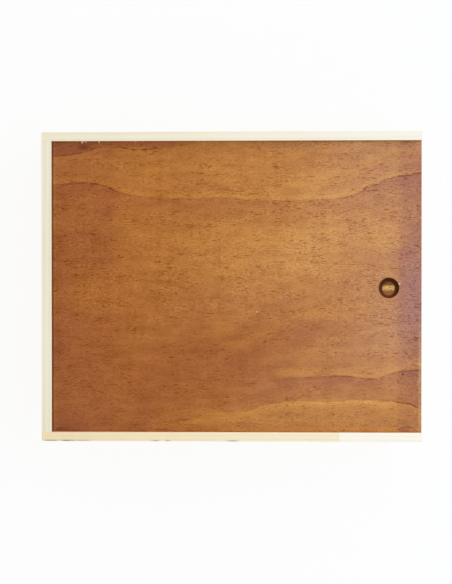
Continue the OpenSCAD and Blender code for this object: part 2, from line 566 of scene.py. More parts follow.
@dataclass(frozen=True)
class PoplarPly(Finish):
    """Bare poplar plywood, peeled round the log and sanded.

    Peeling crosses the rings at a low angle, so they spread into broad soft flames, crossed by short fine
    pores. Sanding leaves it matt; the edges show the veneers.

    Attributes:
        edge: How the sheet's edge looks.
        seed: Where in the noise the sheet lies.
        light_wood: Colour between the rings.
        dark_wood: Colour just before a ring.
        flame_mm: Size of the flames along and across the grain.
        rings: Number of rings that a flame spreads.
        roughness: Roughness of the closed wood and of its pores.
        relief_mm: Height of the pores.
        gloss: Specular level of the wood.
    """

    edge: PlyEdge
    seed: float
    light_wood: str = "F0DDBB"
    dark_wood: str = "DFC195"
    flame_mm: Point = (210.0, 46.0)
    rings: float = 6.0
    roughness: Point = (0.61, 0.74)
    relief_mm: float = 0.02
    gloss: float = 0.3

    def surface(self, graph: Graph, lay: Lay) -> Surface:
        """Draws the flames and pores of the face, and the veneers of the edge.

        Args:
            graph: Where the nodes go.
            lay: How the sheet lies.

        Returns:
            The pattern.
        """
        place = graph.turned("Object", lay)
        through = graph.add("SeparateXYZ", [place], out=2)
        flame = graph.cells(place, (*self.flame_mm, self.flame_mm[1]), self.seed, detail=1.0)
        spread = graph.add("Math", [flame, self.rings], operation="MULTIPLY")
        ring = graph.add("Math", [spread], operation="FRACT")
        late = graph.add("MapRange", [ring, 0.3, 0.97, 0.0, 0.6], interpolation_type="SMOOTHSTEP")
        # Poplar's pores are under 0.1 mm wide; they are drawn 0.6 mm wide, so that they show.
        pore = graph.cells(place, (5.0, 0.6, 0.6), self.seed + 5.0, detail=3.0)
        pored = graph.add("MapRange", [pore, 0.5, 0.72, 0.0, 0.55])
        cloud = graph.cells(place, (60.0, 25.0, 25.0), self.seed + 9.0)
        toned = graph.swing(cloud, 0.9, late)
        mixed = graph.add("Math", [toned, pored], operation="ADD", use_clamp=True)
        face = graph.add("Mix", {0: mixed, 6: self.light_wood, 7: self.dark_wood}, out=2, data_type="RGBA")
        flat = graph.add("MapRange", [graph.squareness(lay, 2), 0.4, 0.7, 0.0, 1.0],
                         interpolation_type="SMOOTHSTEP")
        veneers = self.edge.colour(graph, through, pore)
        colour = graph.add("Mix", {0: flat, 6: veneers, 7: face}, out=2, data_type="RGBA")
        roughness = graph.add("MapRange", [pore, *NOISE, *self.roughness])
        return Surface(colour, roughness, pored, self.relief_mm, self.gloss)


@dataclass(frozen=True)
class GrowthLine:
    """Where one growth ring comes out on the lid's face.

    Attributes:
        course_mm: Points (x, y) that the line runs through, from the closed end to the open end.
        tone: Points (distance above the line in mm, lightness that the wood gains there).
        strength: Points (x in mm, share of the tone), which fade the line in and out.
        seam: Points (x in mm, darkness of the thin broken line of pores at the ring itself).
    """

    course_mm: Curve
    tone: Curve
    strength: Curve
    seam: Curve


@dataclass(frozen=True)
class StainPatch:
    """A soft patch where the wood took more stain or less; a few are painted light and shade beside the
    lips.

    Attributes:
        centre_mm: Its middle.
        half_mm: Half its length and width.
        tone: Lightness that the wood gains in the middle.
    """

    centre_mm: Point
    half_mm: Point
    tone: float


@dataclass(frozen=True)
class FaceMark:
    """A small oval mark on the lid's face.

    Attributes:
        centre_mm: Its middle.
        half_mm: Half its length and width.
        colour: Its colour.
        share: How much of that colour the wood takes.
    """

    centre_mm: Point
    half_mm: Point
    colour: str
    share: float = 1.0


@dataclass(frozen=True)
class ThumbRecess:
    """The round recess that a thumb draws the lid by, cut through the face veneer.

    Attributes:
        centre_mm: Its middle.
        radius_mm: Its radius at the lid's face.
        depth_mm: Its depth.
        cove_mm: Radius between its wall and its floor.
    """

    centre_mm: Point = (145.0, -1.2)
    radius_mm: float = 9.4
    depth_mm: float = 3.0
    cove_mm: float = 2.7


BARE_BIRCH = "DDBE86"
# Colour of sunk stain at the rim and in the scrapes, and of the painted shadow line at the closed end's lip.
SUNK_STAIN_AND_SHADOW = "4A2A12"


@dataclass(frozen=True)
class StainedPly(Finish):
    """Birch-faced plywood, peeled, stained warm brown and given one thin satin coat.

    The stain sinks in unevenly: it darkens just past each growth ring, in the short pores and towards the
    closed end, and leaves golden bands. The face is smooth and softly glossy, so a window shows in it as a
    haze. Cut edges and the recess's wall drink stain and go almost black, the wall darker still with painted
    shade; the recess's floor keeps a band of torn golden fibre with a painted highlight. Painted light
    brightens the strips beside the lips, and a painted shadow line runs along the closed end's lip.

    Attributes:
        edge: How the sheet's edge looks.
        recess: Where the thumb recess lies.
        lines: The growth lines of the face.
        patches: Patches of more or less stain, and a few of painted light and shade beside the lips.
        marks: Small marks, drawn in this order.
        base_tone: Points (x in mm, lightness), along the lid.
        edge_tone: Points (y in mm, lightness), across the lid: painted light near the long edges, most near
        the back wall, against the lips' shade.
        texture_run: Points (x in mm, contrast of the fibres), along the lid.
        texture_width: Points (y in mm, contrast of the fibres), across the lid.
        worn_and_lit_run: Points (x in mm, brightness) along the lid: painted light in the strips beside the
            lips, against their shade, where the lips also wore the stain thin.
        worn_and_lit_width: Points (y in mm, brightness), the same across the lid.
        seam_shape: Points (distance above a growth line in mm, share of its darkness).
        tone_span: The lightness that takes the darkest colour, and the one that takes the palest.
        stops: The colours and where they lie between those two: both ends first, then the rest.
        stain_pull: How much of the red, green and blue a fibre takes that holds more stain.
        seed: Where in the noise the lid lies.
        roughness: Roughness of the open fibres and of the hard pale ones, which take a better polish.
        relief_mm: Height of the fibres.
        gloss: Specular level of the closed face and of an open pore, which the coat sinks into.
        ior: Index of refraction of the coat.
    """

    edge: PlyEdge
    recess: ThumbRecess
    lines: tuple[GrowthLine, ...]
    patches: tuple[StainPatch, ...]
    marks: tuple[FaceMark, ...]
    base_tone: Curve
    edge_tone: Curve
    texture_run: Curve
    texture_width: Curve
    worn_and_lit_run: Curve
    worn_and_lit_width: Curve
    seam_shape: Curve = ((-1.7, 0.0), (-1.0, 0.8), (-0.4, 1.3), (0.2, 0.4), (0.6, 0.0))
    tone_span: Point = (-0.8, 1.7)
    stops: tuple[tuple[float, str], ...] = (
        (0.0, "77381A"), (1.0, "D49640"), (0.32, "9E552B"), (0.72, "C17C31"),
    )
    stain_pull: tuple[float, float, float] = (0.4, 0.61, 1.04)
    seed: float = 2.0
    roughness: Point = (0.265, 0.235)
    relief_mm: float = 0.025
    gloss: Point = (0.5, 0.13)
    ior: float = 1.5

    def tone(self, graph: Graph, place: Socket) -> tuple[Socket, Socket]:
        """Adds up what the stain does over the face.

        Args:
            graph: Where the nodes go.
            place: The place on the lid.

        Returns:
            Lightness, within tone_span or a little past it, and how open the pores of a growth line are
            there, from 0 up.
        """
        along, across, _ = graph.add("SeparateXYZ", [place]).node.outputs
        loose = graph.swing(graph.cells(place, (9.0, 5.0, 5.0), self.seed + 1.0), 0.7 * MM, across)
        gaps = graph.cells(place, (8.0, 40.0, 40.0), self.seed + 5.0, detail=1.0)
        broken = graph.add("MapRange", [gaps, 0.4, 0.56, 0.15, 1.0])
        run = graph.follow(along, self.base_tone)
        total = graph.add("Math", [run, graph.follow(across, self.edge_tone)], operation="ADD")
        seams: Input = 0.0
        for line in self.lines:
            course = graph.follow(along, line.course_mm, MM)
            above = graph.add("Math", [loose, course], operation="SUBTRACT")
            gain = graph.follow(above, line.tone)
            total = graph.add("Math", [gain, graph.follow(along, line.strength), total],
                              operation="MULTIPLY_ADD")
            thin = graph.follow(above, self.seam_shape)
            dark = graph.add("Math", [graph.follow(along, line.seam), broken], operation="MULTIPLY")
            seams = graph.add("Math", [thin, dark, seams], operation="MULTIPLY_ADD")
        for patch in self.patches:
            reach = graph.from_oval(place, patch.centre_mm, patch.half_mm)
            gain = graph.add("MapRange", [reach, 0.0, 1.0, patch.tone, 0.0], interpolation_type="SMOOTHSTEP")
            total = graph.add("Math", [total, gain], operation="ADD")
        return graph.add("Math", [total, seams], operation="SUBTRACT"), seams

    def texture(self, graph: Graph, place: Socket, grain: Socket) -> Socket:
        """Weighs the grain and adds the slower patterns.

        Args:
            graph: Where the nodes go.
            place: The place on the lid.
            grain: The fibres, broken up by pores.

        Returns:
            How much brighter than the face round it the wood is.
        """
        along, across, _ = graph.add("SeparateXYZ", [place]).node.outputs
        # Peeling leaves faint bars across the grain.
        bar = graph.cells(place, (7.0, 70.0, 70.0), self.seed + 29.0, detail=1.0)
        barred = graph.swing(bar, 0.35, grain)
        # Open and closed fibres lie in patches, so that the texture gathers in places.
        patch = graph.cells(place, (34.0, 11.0, 11.0), self.seed + 35.0, detail=1.0)
        patchy = graph.add("MapRange", [patch, 0.36, 0.64, 0.7, 1.3])
        run = graph.add("Math", [graph.follow(along, self.texture_run), patchy], operation="MULTIPLY")
        share = graph.add("Math", [run, graph.follow(across, self.texture_width)], operation="MULTIPLY")
        mottle = graph.swing(graph.cells(place, (20.0, 7.0, 7.0), self.seed + 23.0), 1.1)
        return graph.add("Math", [barred, share, mottle], operation="MULTIPLY_ADD")

    def surface(self, graph: Graph, lay: Lay) -> Surface:
        """Draws the stained face and the veneers of the edge.

        Args:
            graph: Where the nodes go.
            lay: How the sheet lies.

        Returns:
            The pattern.
        """
        place = graph.turned("Object", lay)
        along, across, through = graph.add("SeparateXYZ", [place]).node.outputs
        # Fibre bundles 1 mm wide and 2.5 mm long, which is about a pixel by three in the photograph's frame.
        fibre = graph.cells(place, (2.5, 1.05, 1.05), self.seed + 11.0, detail=1.5)
        pore = graph.cells(place, (5.4, 1.0, 1.0), self.seed + 17.0, detail=1.0)
        pits = graph.add("MapRange", [pore, 0.59, 0.7, 0.0, 0.68])
        grain = graph.add("Math", [graph.swing(fibre, 1.85, middle=0.48), pits], operation="SUBTRACT")
        texture = self.texture(graph, place, grain)
        tone, seams = self.tone(graph, place)
        level = graph.add("MapRange", [tone, *self.tone_span, 0.0, 1.0])
        stained = graph.add("ValToRGB", [level], stops=self.stops)
        # Where a fibre holds more stain, it takes most of the blue, less of the green and least of the red.
        depth = graph.add("VectorMath", [texture, self.stain_pull, WHITE], operation="MULTIPLY_ADD")
        # Painted light: the strips beside the lips are brightened against their shade; the lips also wore
        # the stain thin there.
        run = graph.follow(along, self.worn_and_lit_run)
        worn_and_lit = graph.add("Math", [run, graph.follow(across, self.worn_and_lit_width)], operation="MULTIPLY")
        worn_and_lit_depth = graph.add("VectorMath", {0: depth, "Scale": worn_and_lit}, operation="SCALE")
        face = graph.add("VectorMath", [stained, worn_and_lit_depth], operation="MULTIPLY")
        face = self.marked(graph, place, fibre, face)
        flat = graph.add("MapRange", [graph.squareness(lay, 2), 0.3, 0.6, 0.0, 1.0],
                         interpolation_type="SMOOTHSTEP")
        veneers = self.edge.colour(graph, through, pore)
        colour = graph.add("Mix", {0: flat, 6: veneers, 7: face}, out=2, data_type="RGBA")
        roughness = graph.add("MapRange", [fibre, *NOISE, *self.roughness])
        relief = graph.add("Math", [fibre, pits], operation="SUBTRACT")
        sunk = graph.add("Math", [seams, 0.8], operation="MULTIPLY")
        hollow = graph.add("Math", [sunk, grain], operation="SUBTRACT")
        gloss = graph.add("MapRange", [hollow, 0.0, 0.62, *self.gloss])
        return Surface(colour, roughness, relief, self.relief_mm, gloss, ior=self.ior)

    def marked(self, graph: Graph, place: Socket, fibre: Socket, face: Socket) -> Socket:
        """Draws the small marks of the face.

        Args:
            graph: Where the nodes go.
            place: The place on the lid.
            fibre: The fibre noise.
            face: The face's colour.

        Returns:
            The colour with the marks.
        """
        along, across, _ = graph.add("SeparateXYZ", [place]).node.outputs
        touches = []
        for mark in self.marks:
            reach = graph.from_oval(place, mark.centre_mm, mark.half_mm)
            share = graph.add("MapRange", [reach, 0.6, 1.1, mark.share, 0.0],
                              interpolation_type="SMOOTHSTEP")
            touches.append((share, mark.colour))
        # The bit's rim drank more stain than the face round it.
        off_mm = graph.from_oval(place, self.recess.centre_mm, (1.0, 1.0))
        rim = self.recess.radius_mm
        touches.append((graph.add("MapRange", [off_mm, rim, rim + 0.45, 0.6, 0.0]), SUNK_STAIN_AND_SHADOW))
        # Painted shadow: a dark line across the lid where it goes under the closed end's lip.
        lip_shadow_line = graph.add("MapRange", [along, -165.3 * MM, -164.3 * MM, 0.55, 0.0])
        touches.append((lip_shadow_line, SUNK_STAIN_AND_SHADOW))
        # Hands have rubbed the arris of the open end bare on one side of the recess.
        rubbed = graph.add("MapRange", [along, 171.4 * MM, 173.0 * MM, 0.0, 1.0])
        side = graph.add("MapRange", [across, -70.0 * MM, -20.0 * MM, 0.32, 0.0])
        patchy = graph.add("MapRange", [fibre, 0.35, 0.6, 0.4, 1.0])
        bare = graph.add("Math", [rubbed, side], operation="MULTIPLY")
        touches.append((graph.add("Math", [bare, patchy], operation="MULTIPLY"), BARE_BIRCH))
        for share, colour in touches:
            face = graph.add("Mix", {0: share, 6: face, 7: colour}, out=2, data_type="RGBA")
        return face


@dataclass(frozen=True)
class StainedRecess(Finish):
    """The bored thumb recess: bare wood that drank the stain and got no varnish.

    Its wall and cove are end grain and nearly black, darker still with painted shade on the side turned away
    from the window and lighter with painted light on the side that faces it. The bit tore the floor, and a
    band of golden fibre stayed bright across it; the band also holds a painted highlight, and the floor on
    the back wall's side holds painted shadow of the wall.

    Attributes:
        recess: Where the recess lies and how large it is.
        wall: Colour of the wall and the cove on the side of the back wall and the open end: end grain
            darkened further by painted shade, as that side is turned away from the window.
        lit_wall: Their colour on the other side: painted light, where they face the window.
        end_reach: How much nearer to the middle the dark end grain starts along the grain than across it.
        shade_shift_mm: How far the floor's middle is moved towards the front wall, which widens the dark
            wall on
        the back wall's side: painted shade.
        shaded_upper_floor: Colour of the floor on the side of the back wall, darkened as painted shadow of
            the wall.
        lower_floor: Colour of the floor on the other side.
        torn_fibre_highlight: Colour of the bright band: torn golden fibre with a painted highlight.
        shadow_fibre: Colour of the band's duller fibres.
        band_mm: The band's middle, from the recess's middle, and half its width.
        seed: Where in the noise the recess lies.
        roughness: Roughness of the dull fibres and of the bright ones.
        relief_mm: Height of the torn fibres.
        gloss: Specular level of the unvarnished wood.
    """

    recess: ThumbRecess
    wall: str = "4A2408"
    lit_wall: str = "663617"
    end_reach: float = 1.13
    shade_shift_mm: float = 0.6
    shaded_upper_floor: str = "834A29"
    lower_floor: str = "A16033"
    torn_fibre_highlight: str = "EFC07C"
    shadow_fibre: str = "B8813C"
    band_mm: Point = (0.3, 1.9)
    seed: float = 61.0
    roughness: Point = (0.7, 0.9)
    relief_mm: float = 0.12
    gloss: float = 0.08

    def surface(self, graph: Graph, lay: Lay) -> Surface:
        """Draws the wall, the cove and the torn floor.

        Args:
            graph: Where the nodes go.
            lay: How the sheet lies.

        Returns:
            The pattern.
        """
        place = graph.turned("Object", lay)
        centre_x, centre_y = self.recess.centre_mm
        middle = (centre_x * MM, centre_y * MM, 0.0)
        from_middle = graph.add("VectorMath", [place, middle], operation="SUBTRACT")
        right, up, _ = graph.add("SeparateXYZ", [from_middle]).node.outputs
        fibre = graph.cells(place, (1.9, 1.2, 1.2), self.seed)
        # Painted shadow: the floor on the back wall's side is darker, as if shaded by the wall.
        loose = graph.swing(fibre, 4.5 * MM, up)
        in_wall_shadow = graph.add("MapRange", [loose, -1.0 * MM, 1.0 * MM, 0.0, 1.0])
        floor = graph.add("Mix", {0: in_wall_shadow, 6: self.lower_floor, 7: self.shaded_upper_floor}, out=2,
                          data_type="RGBA")
        shine = graph.add("MapRange", [fibre, 0.38, 0.62, 0.0, 1.0])
        torn = graph.add("Mix", {0: shine, 6: self.shadow_fibre, 7: self.torn_fibre_highlight}, out=2,
                         data_type="RGBA")
        # The band of torn fibre across the floor is brightened as a painted highlight.
        from_band = graph.add("Math", [loose, self.band_mm[0] * MM], operation="SUBTRACT")
        off = graph.add("Math", [from_band], operation="ABSOLUTE")
        half = self.band_mm[1]
        band = graph.add("MapRange", [off, (half - 0.8) * MM, (half + 1.0) * MM, 1.0, 0.0])
        floor = graph.add("Mix", {0: band, 6: floor, 7: torn}, out=2, data_type="RGBA")
        # Painted shade: the floor's outline is moved towards the front wall, so the dark wall is wider on
        # the back wall's side.
        out_mm = graph.from_oval(place, (centre_x, centre_y - self.shade_shift_mm), (1 / self.end_reach, 1.0))
        edge = self.recess.radius_mm - self.recess.cove_mm
        wall = graph.add("MapRange", [out_mm, edge - 0.9, edge + 0.3, 0.0, 1.0])
        # Painted light and shade: the wall is lighter on the side that faces the window and darker on the
        # side turned away.
        side = graph.add("Math", [right, up], operation="ADD")
        turned_away = graph.add("MapRange", [side, -9.0 * MM, 6.0 * MM, 0.0, 1.0])
        bored = graph.add("Mix", {0: turned_away, 6: self.lit_wall, 7: self.wall}, out=2, data_type="RGBA")
        colour = graph.add("Mix", {0: wall, 6: floor, 7: bored}, out=2, data_type="RGBA")
        roughness = graph.add("MapRange", [fibre, *NOISE, *self.roughness])
        return Surface(colour, roughness, fibre, self.relief_mm, self.gloss)


@dataclass(frozen=True)
class WireNail(Finish):
    """Bright steel wire nail: drawn, so its head has fine scratches and a cool dull shine.

    Attributes:
        steel: Colour of the steel.
        dull_steel: Its colour in a scratch.
        scratch_mm: Width of a scratch, which is six times as long.
        roughness: Roughness of a scratch and of the steel between.
        relief_mm: Height of the scratches.
    """

    steel: str = "B9B8B2"
    dull_steel: str = "8F8D86"
    scratch_mm: float = 0.3
    roughness: Point = (0.28, 0.46)
    relief_mm: float = 0.02

    def surface(self, graph: Graph, lay: Lay) -> Surface:
        """Draws the scratches.

        Args:
            graph: Where the nodes go.
            lay: How the nail lies.

        Returns:
            The pattern.
        """
        size_mm = (6 * self.scratch_mm, self.scratch_mm, self.scratch_mm)
        scratch = graph.cells(graph.turned("Object", lay), size_mm, 1.0)
        stops = ((NOISE[0], self.dull_steel), (NOISE[1], self.steel))
        colour = graph.add("ValToRGB", [scratch], stops=stops)
        roughness = graph.add("MapRange", [scratch, *NOISE, *self.roughness])
        return Surface(colour, roughness, scratch, self.relief_mm, metallic=1.0)


@dataclass(frozen=True)
class PaleCard:
    """The white card that the box stands on: matt, and shown near white to the camera.

    Attributes:
        card: Colour of the card.
        lit_share: Share of plain white that the camera sees, also in a mirror or through glass.
    """

    card: str = "F4F4F2"
    lit_share: float = 0.88

    def material(self, name: str) -> bpy.types.Material:
        """Makes the material.

        Args:
            name: Name of the material.

        Returns:
            The material.
        """
        material, graph = new_material(name)
        matt = graph.add("BsdfPrincipled", {"Base Color": self.card, "Roughness": 0.9,
                                            "Specular IOR Level": 0.1})
        white = graph.add("Emission", {"Color": "FFFFFF", "Strength": 1.0})
        rays = graph.add("LightPath").node.outputs
        seen = graph.add("Math", [rays["Is Camera Ray"], rays["Is Glossy Ray"]], operation="MAXIMUM")
        seen = graph.add("Math", [seen, rays["Is Transmission Ray"]], operation="MAXIMUM")
        share = graph.add("Math", [seen, self.lit_share], operation="MULTIPLY")
        mixed = graph.add("MixShader", [share, matt, white])
        graph.add("OutputMaterial", {"Surface": mixed})
        return material


def rectangle(low: Point, high: Point) -> list[Point]:
    """Lists a rectangle's corners from its lowest one round, with the first number growing first."""
    return [low, (high[0], low[1]), high, (low[0], high[1])]


def evenly(first: float, last: float, count: int) -> list[float]:
    """Spaces numbers evenly from the first to the last, both of them included."""
    return [first + (last - first) * i / (count - 1) for i in range(count)]


def extruded(outline: Sequence[Point], span: Point, along: Axis) -> bmesh.types.BMesh:
    """Pulls an outline out into a board.

    Args:
        outline: Corners in the plane of the two other axes, taken in the order X, Y, Z.
        span: Where the board starts and ends.
        along: The way that the outline is pulled.

    Returns:
        The board's mesh.
    """
    mesh = bmesh.new()
    rings = []
    for end in span:
        corners = []
        for a, b in outline:
            place = [a, b]
            place.insert(along.value, end)
            corners.append(mesh.verts.new(place))
        rings.append(corners)
    count = len(outline)
    for i in range(count):
        j = (i + 1) % count
        mesh.faces.new((rings[0][i], rings[0][j], rings[1][j], rings[1][i]))
    mesh.faces.new(rings[0])
    mesh.faces.new(rings[1])
    bmesh.ops.recalc_face_normals(mesh, faces=mesh.faces)
    return mesh


def soften(mesh: bmesh.types.BMesh, radius: float, along: Optional[Axis] = None) -> None:
    """Rounds the outward edges of a board, as a pass of sandpaper does.

    Args:
        mesh: The board.
        radius: Width that the rounding takes from each face.
        along: The way that the rounded edges run, or None for all of them.
    """
    flat = math.radians(20)
    segments = 3
    edges = [e for e in mesh.edges if len(e.link_faces) == 2 and e.is_convex and e.calc_face_angle() > flat]
    if along:
        spans = {e: e.verts[1].co - e.verts[0].co for e in edges}
        edges = [e for e, span in spans.items() if abs(span[along.value]) > span.length / 2]
    bmesh.ops.bevel(mesh, geom=edges, offset=radius, segments=segments, profile=0.5, affect="EDGES",
                    clamp_overlap=True)


def lathed(outline: Sequence[Point], sides: int, place: Matrix) -> bmesh.types.BMesh:
    """Turns an outline round the Z axis into a closed solid.

    Args:
        outline: Points (radius, height) from the axis back to the axis.
        sides: Number of facets round it.
        place: Where the solid goes.

    Returns:
        The solid's mesh.
    """
    mesh = bmesh.new()
    rings = []
    for radius, height in outline:
        if radius == 0:
            rings.append([mesh.verts.new((0.0, 0.0, height))] * sides)
            continue
        turns = [2 * math.pi * i / sides for i in range(sides)]
        rings.append([mesh.verts.new((radius * math.cos(t), radius * math.sin(t), height)) for t in turns])
    for low, high in zip(rings, rings[1:]):
        for i in range(sides):
            j = (i + 1) % sides
            corners = dict.fromkeys((low[i], low[j], high[j], high[i]))
            if len(corners) > 2:
                mesh.faces.new(list(corners))
    bmesh.ops.recalc_face_normals(mesh, faces=mesh.faces)
    mesh.transform(place)
    return mesh


def merged(meshes: Sequence[bmesh.types.BMesh]) -> bmesh.types.BMesh:
    """Puts several meshes into one.

    Args:
        meshes: The meshes, which are freed.

    Returns:
        One mesh that holds them all.
    """
    whole = bmesh.new()
    for part in meshes:
        holder = bpy.data.meshes.new("holder")
        part.to_mesh(holder)
        part.free()
        whole.from_mesh(holder)
        bpy.data.meshes.remove(holder)
    return whole


def as_object(name: str, mesh: bmesh.types.BMesh) -> bpy.types.Object:
    """Turns a mesh into an object of the scene.

    Args:
        name: Name of the object.
        mesh: The mesh, which is freed.

    Returns:
        The object.
    """
    data = bpy.data.meshes.new(name)
    mesh.to_mesh(data)
    mesh.free()
    made = bpy.data.objects.new(name, data)
    bpy.context.scene.collection.objects.link(made)
    return made


def carve(piece: bpy.types.Object, tools: Sequence[bmesh.types.BMesh]) -> None:
    """Cuts shapes out of a piece.

    Args:
        piece: The piece.
        tools: The shapes, which are used up.
    """
    cutter = as_object("cutter", merged(tools))
    cut = piece.modifiers.new("cut", "BOOLEAN")
    cut.operation = "DIFFERENCE"
    cut.solver = "EXACT"
    cut.object = cutter
    graph = bpy.context.evaluated_depsgraph_get()
    result = bpy.data.meshes.new_from_object(piece.evaluated_get(graph))
    piece.modifiers.clear()
    plain = piece.data
    piece.data = result
    bpy.data.meshes.remove(plain)
    bpy.data.objects.remove(cutter)


def hand_over(piece: bpy.types.Object, material: bpy.types.Material, body: Body,
              nodes: Sequence[str] = ()) -> bpy.types.Object:
    """Gives a finished piece its material, its body and the CAD solids that it stands for.

    Args:
        piece: The piece.
        material: Its finish.
        body: The body that it rides on.
        nodes: The CAD nodes that it replaces.

    Returns:
        The piece.
    """
    piece.data.materials.clear()
    piece.data.materials.append(material)
    piece.data.polygons.foreach_set("use_smooth", [True] * len(piece.data.polygons))
    crease = math.radians(35)
    piece.data.set_sharp_from_angle(angle=crease)
    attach(piece, body.value)
    if nodes:
        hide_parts(*nodes)
    LOG.info("%s: %d faces on %s", piece.name, len(piece.data.polygons), body.value)
    return piece


@dataclass(frozen=True)
class Carcass:
    """Sizes that the boards of the box share, as the CAD model has them.

    Attributes:
        length: Length of the box, along X.
        width: Its width, along Y.
        height: Its height.
        side_wall: Thickness of the long walls.
        end_wall: Thickness of the end walls.
        base: Thickness of the base.
        arris: Width that the rounding of an edge takes.
        groove_depth: How deep the lid's grooves are.
        groove_low: Height of their floor.
        groove_high: Height of their roof.
        divider: Thickness of the dividers.
        divider_top: Height of their top edge.
        divider_off: How far their middles are from the box's.
        housing: How deep the end walls hold them.
        fit: Gap that lets a piece go into its seat.
    """

    length: float = 350 * MM
    width: float = 285 * MM
    height: float = 100 * MM
    side_wall: float = 8.5 * MM
    end_wall: float = 9.5 * MM
    base: float = 4 * MM
    arris: float = 0.5 * MM
    groove_depth: float = 4 * MM
    groove_low: float = 90.4 * MM
    groove_high: float = 96 * MM
    divider: float = 4 * MM
    divider_top: float = 84 * MM
    divider_off: float = 136 * MM / 3
    housing: float = 3 * MM
    fit: float = 0.15 * MM

    @property
    def inner_x(self) -> float:
        """Half the length between the end walls."""
        return self.length / 2 - self.end_wall

    @property
    def inner_y(self) -> float:
        """Half the width between the long walls."""
        return self.width / 2 - self.side_wall

    def grooved_outline(self, thickness: float) -> list[Point]:
        """Draws a wall seen on its end, with its outer face at 0 and the lid groove cut inside.

        Args:
            thickness: Thickness of the wall.

        Returns:
            Corners (depth from the outer face, height).
        """
        bottom = thickness - self.groove_depth
        return [
            (0.0, self.base), (0.0, self.height), (thickness, self.height), (thickness, self.groove_high),
            (bottom, self.groove_high), (bottom, self.groove_low), (thickness, self.groove_low),
            (thickness, self.base),
        ]

    def housings(self) -> list[bmesh.types.BMesh]:
        """Makes the cutters for the housings that hold the dividers' ends.

        Returns:
            One cutter for each divider, through both end walls.
        """
        reach = self.inner_x + self.housing
        half = self.divider / 2 + self.fit
        cutters = []
        for side in (-1, 1):
            middle = side * self.divider_off
            outline = rectangle((-reach, middle - half), (reach, middle + half))
            cutters.append(extruded(outline, (self.base - MM, self.divider_top + self.fit), Axis.Z))
        return cutters


@dataclass(frozen=True)
class Nailing:
    """The wire nails of the corners and the base, each set just under the surface.

    Attributes:
        carcass: Sizes of the box.
        finish: How a nail looks.
        head_radius: Radius of a head.
        head_height: Thickness of a head.
        shank_radius: Radius of a shank.
        sunk: How far a head lies under the surface.
        corner_length: Length of a nail in a corner.
        base_length: Length of a nail in the base.
        margin: How far the outermost nails keep from the end of their row.
        corner_count: Number of nails in a corner.
        edge_count: Number of nails in a long edge of the base.
        sides: Number of facets round a nail.
    """

    carcass: Carcass
    finish: WireNail = WireNail()
    head_radius: float = 1.5 * MM
    head_height: float = 0.6 * MM
    shank_radius: float = 0.7 * MM
    sunk: float = 0.12 * MM
    corner_length: float = 25 * MM
    base_length: float = 20 * MM
    margin: float = 14 * MM
    corner_count: int = 3
    edge_count: int = 5
    sides: int = 24

    def corner_places(self, side: int) -> list[Matrix]:
        """Places the nails of one long wall, each pointing in.

        Args:
            side: 1 for the back wall, -1 for the front wall.

        Returns:
            A matrix for each nail, whose +Z points out of the wood.
        """
        box = self.carcass
        low, high = box.base + self.margin, box.groove_low - self.margin
        off = box.length / 2 - box.end_wall / 2
        face = side * box.width / 2
        spots = [(x, face, z) for x in (-off, off) for z in evenly(low, high, self.corner_count)]
        turn = Matrix.Rotation(-side * math.pi / 2, 4, "X")
        return [Matrix.Translation(spot) @ turn for spot in spots]

    def base_places(self) -> list[Matrix]:
        """Places the nails of the base, each pointing up.

        Returns:
            A matrix for each nail, whose +Z points out of the wood.
        """
        box = self.carcass
        end = box.inner_x - self.margin
        off_y = box.width / 2 - box.side_wall / 2
        off_x = box.length / 2 - box.end_wall / 2
        spots = [(x, y) for y in (-off_y, off_y) for x in evenly(-end, end, self.edge_count)]
        spots += [(x, y) for x in (-off_x, off_x) for y in (-2 * box.divider_off, 0.0, 2 * box.divider_off)]
        turn = Matrix.Rotation(math.pi, 4, "X")
        return [Matrix.Translation((x, y, 0.0)) @ turn for x, y in spots]

    def pits(self, places: Sequence[Matrix]) -> list[bmesh.types.BMesh]:
        """Makes the cutters for the shallow pits that the heads lie in.

        Args:
            places: Where each nail goes.

        Returns:
            A cutter for each nail.
        """
        gap = 0.12 * MM
        over = 0.5 * MM
        deep = self.sunk + self.head_height
        outline = [(0.0, -deep), (self.head_radius + gap / 2, -deep), (self.head_radius + gap, 0.0),
                   (self.head_radius + gap, over), (0.0, over)]
        return [lathed(outline, self.sides, place) for place in places]

    def build(self, name: str, places: Sequence[Matrix], length: float) -> None:
        """Makes a set of nails.

        Args:
            name: Name of the CAD node that they stand for.
            places: Where each nail goes.
            length: Length of a nail.
        """
        head = self.head_radius
        top = -self.sunk
        round_off = 0.12 * MM
        under = top - self.head_height
        point = length - 4 * self.shank_radius
        outline = [(0.0, top), (head - round_off, top), (head, top - round_off), (head, under + round_off),
                   (head - round_off, under), (self.shank_radius, under), (self.shank_radius, -point),
                   (self.shank_radius / 5, -length), (0.0, -length)]
        nails = as_object(name + "_set", merged([lathed(outline, self.sides, place) for place in places]))
        material = self.finish.material(name + "_steel", LAID_FLAT)
        hand_over(nails, material, Body.BOX, [name])


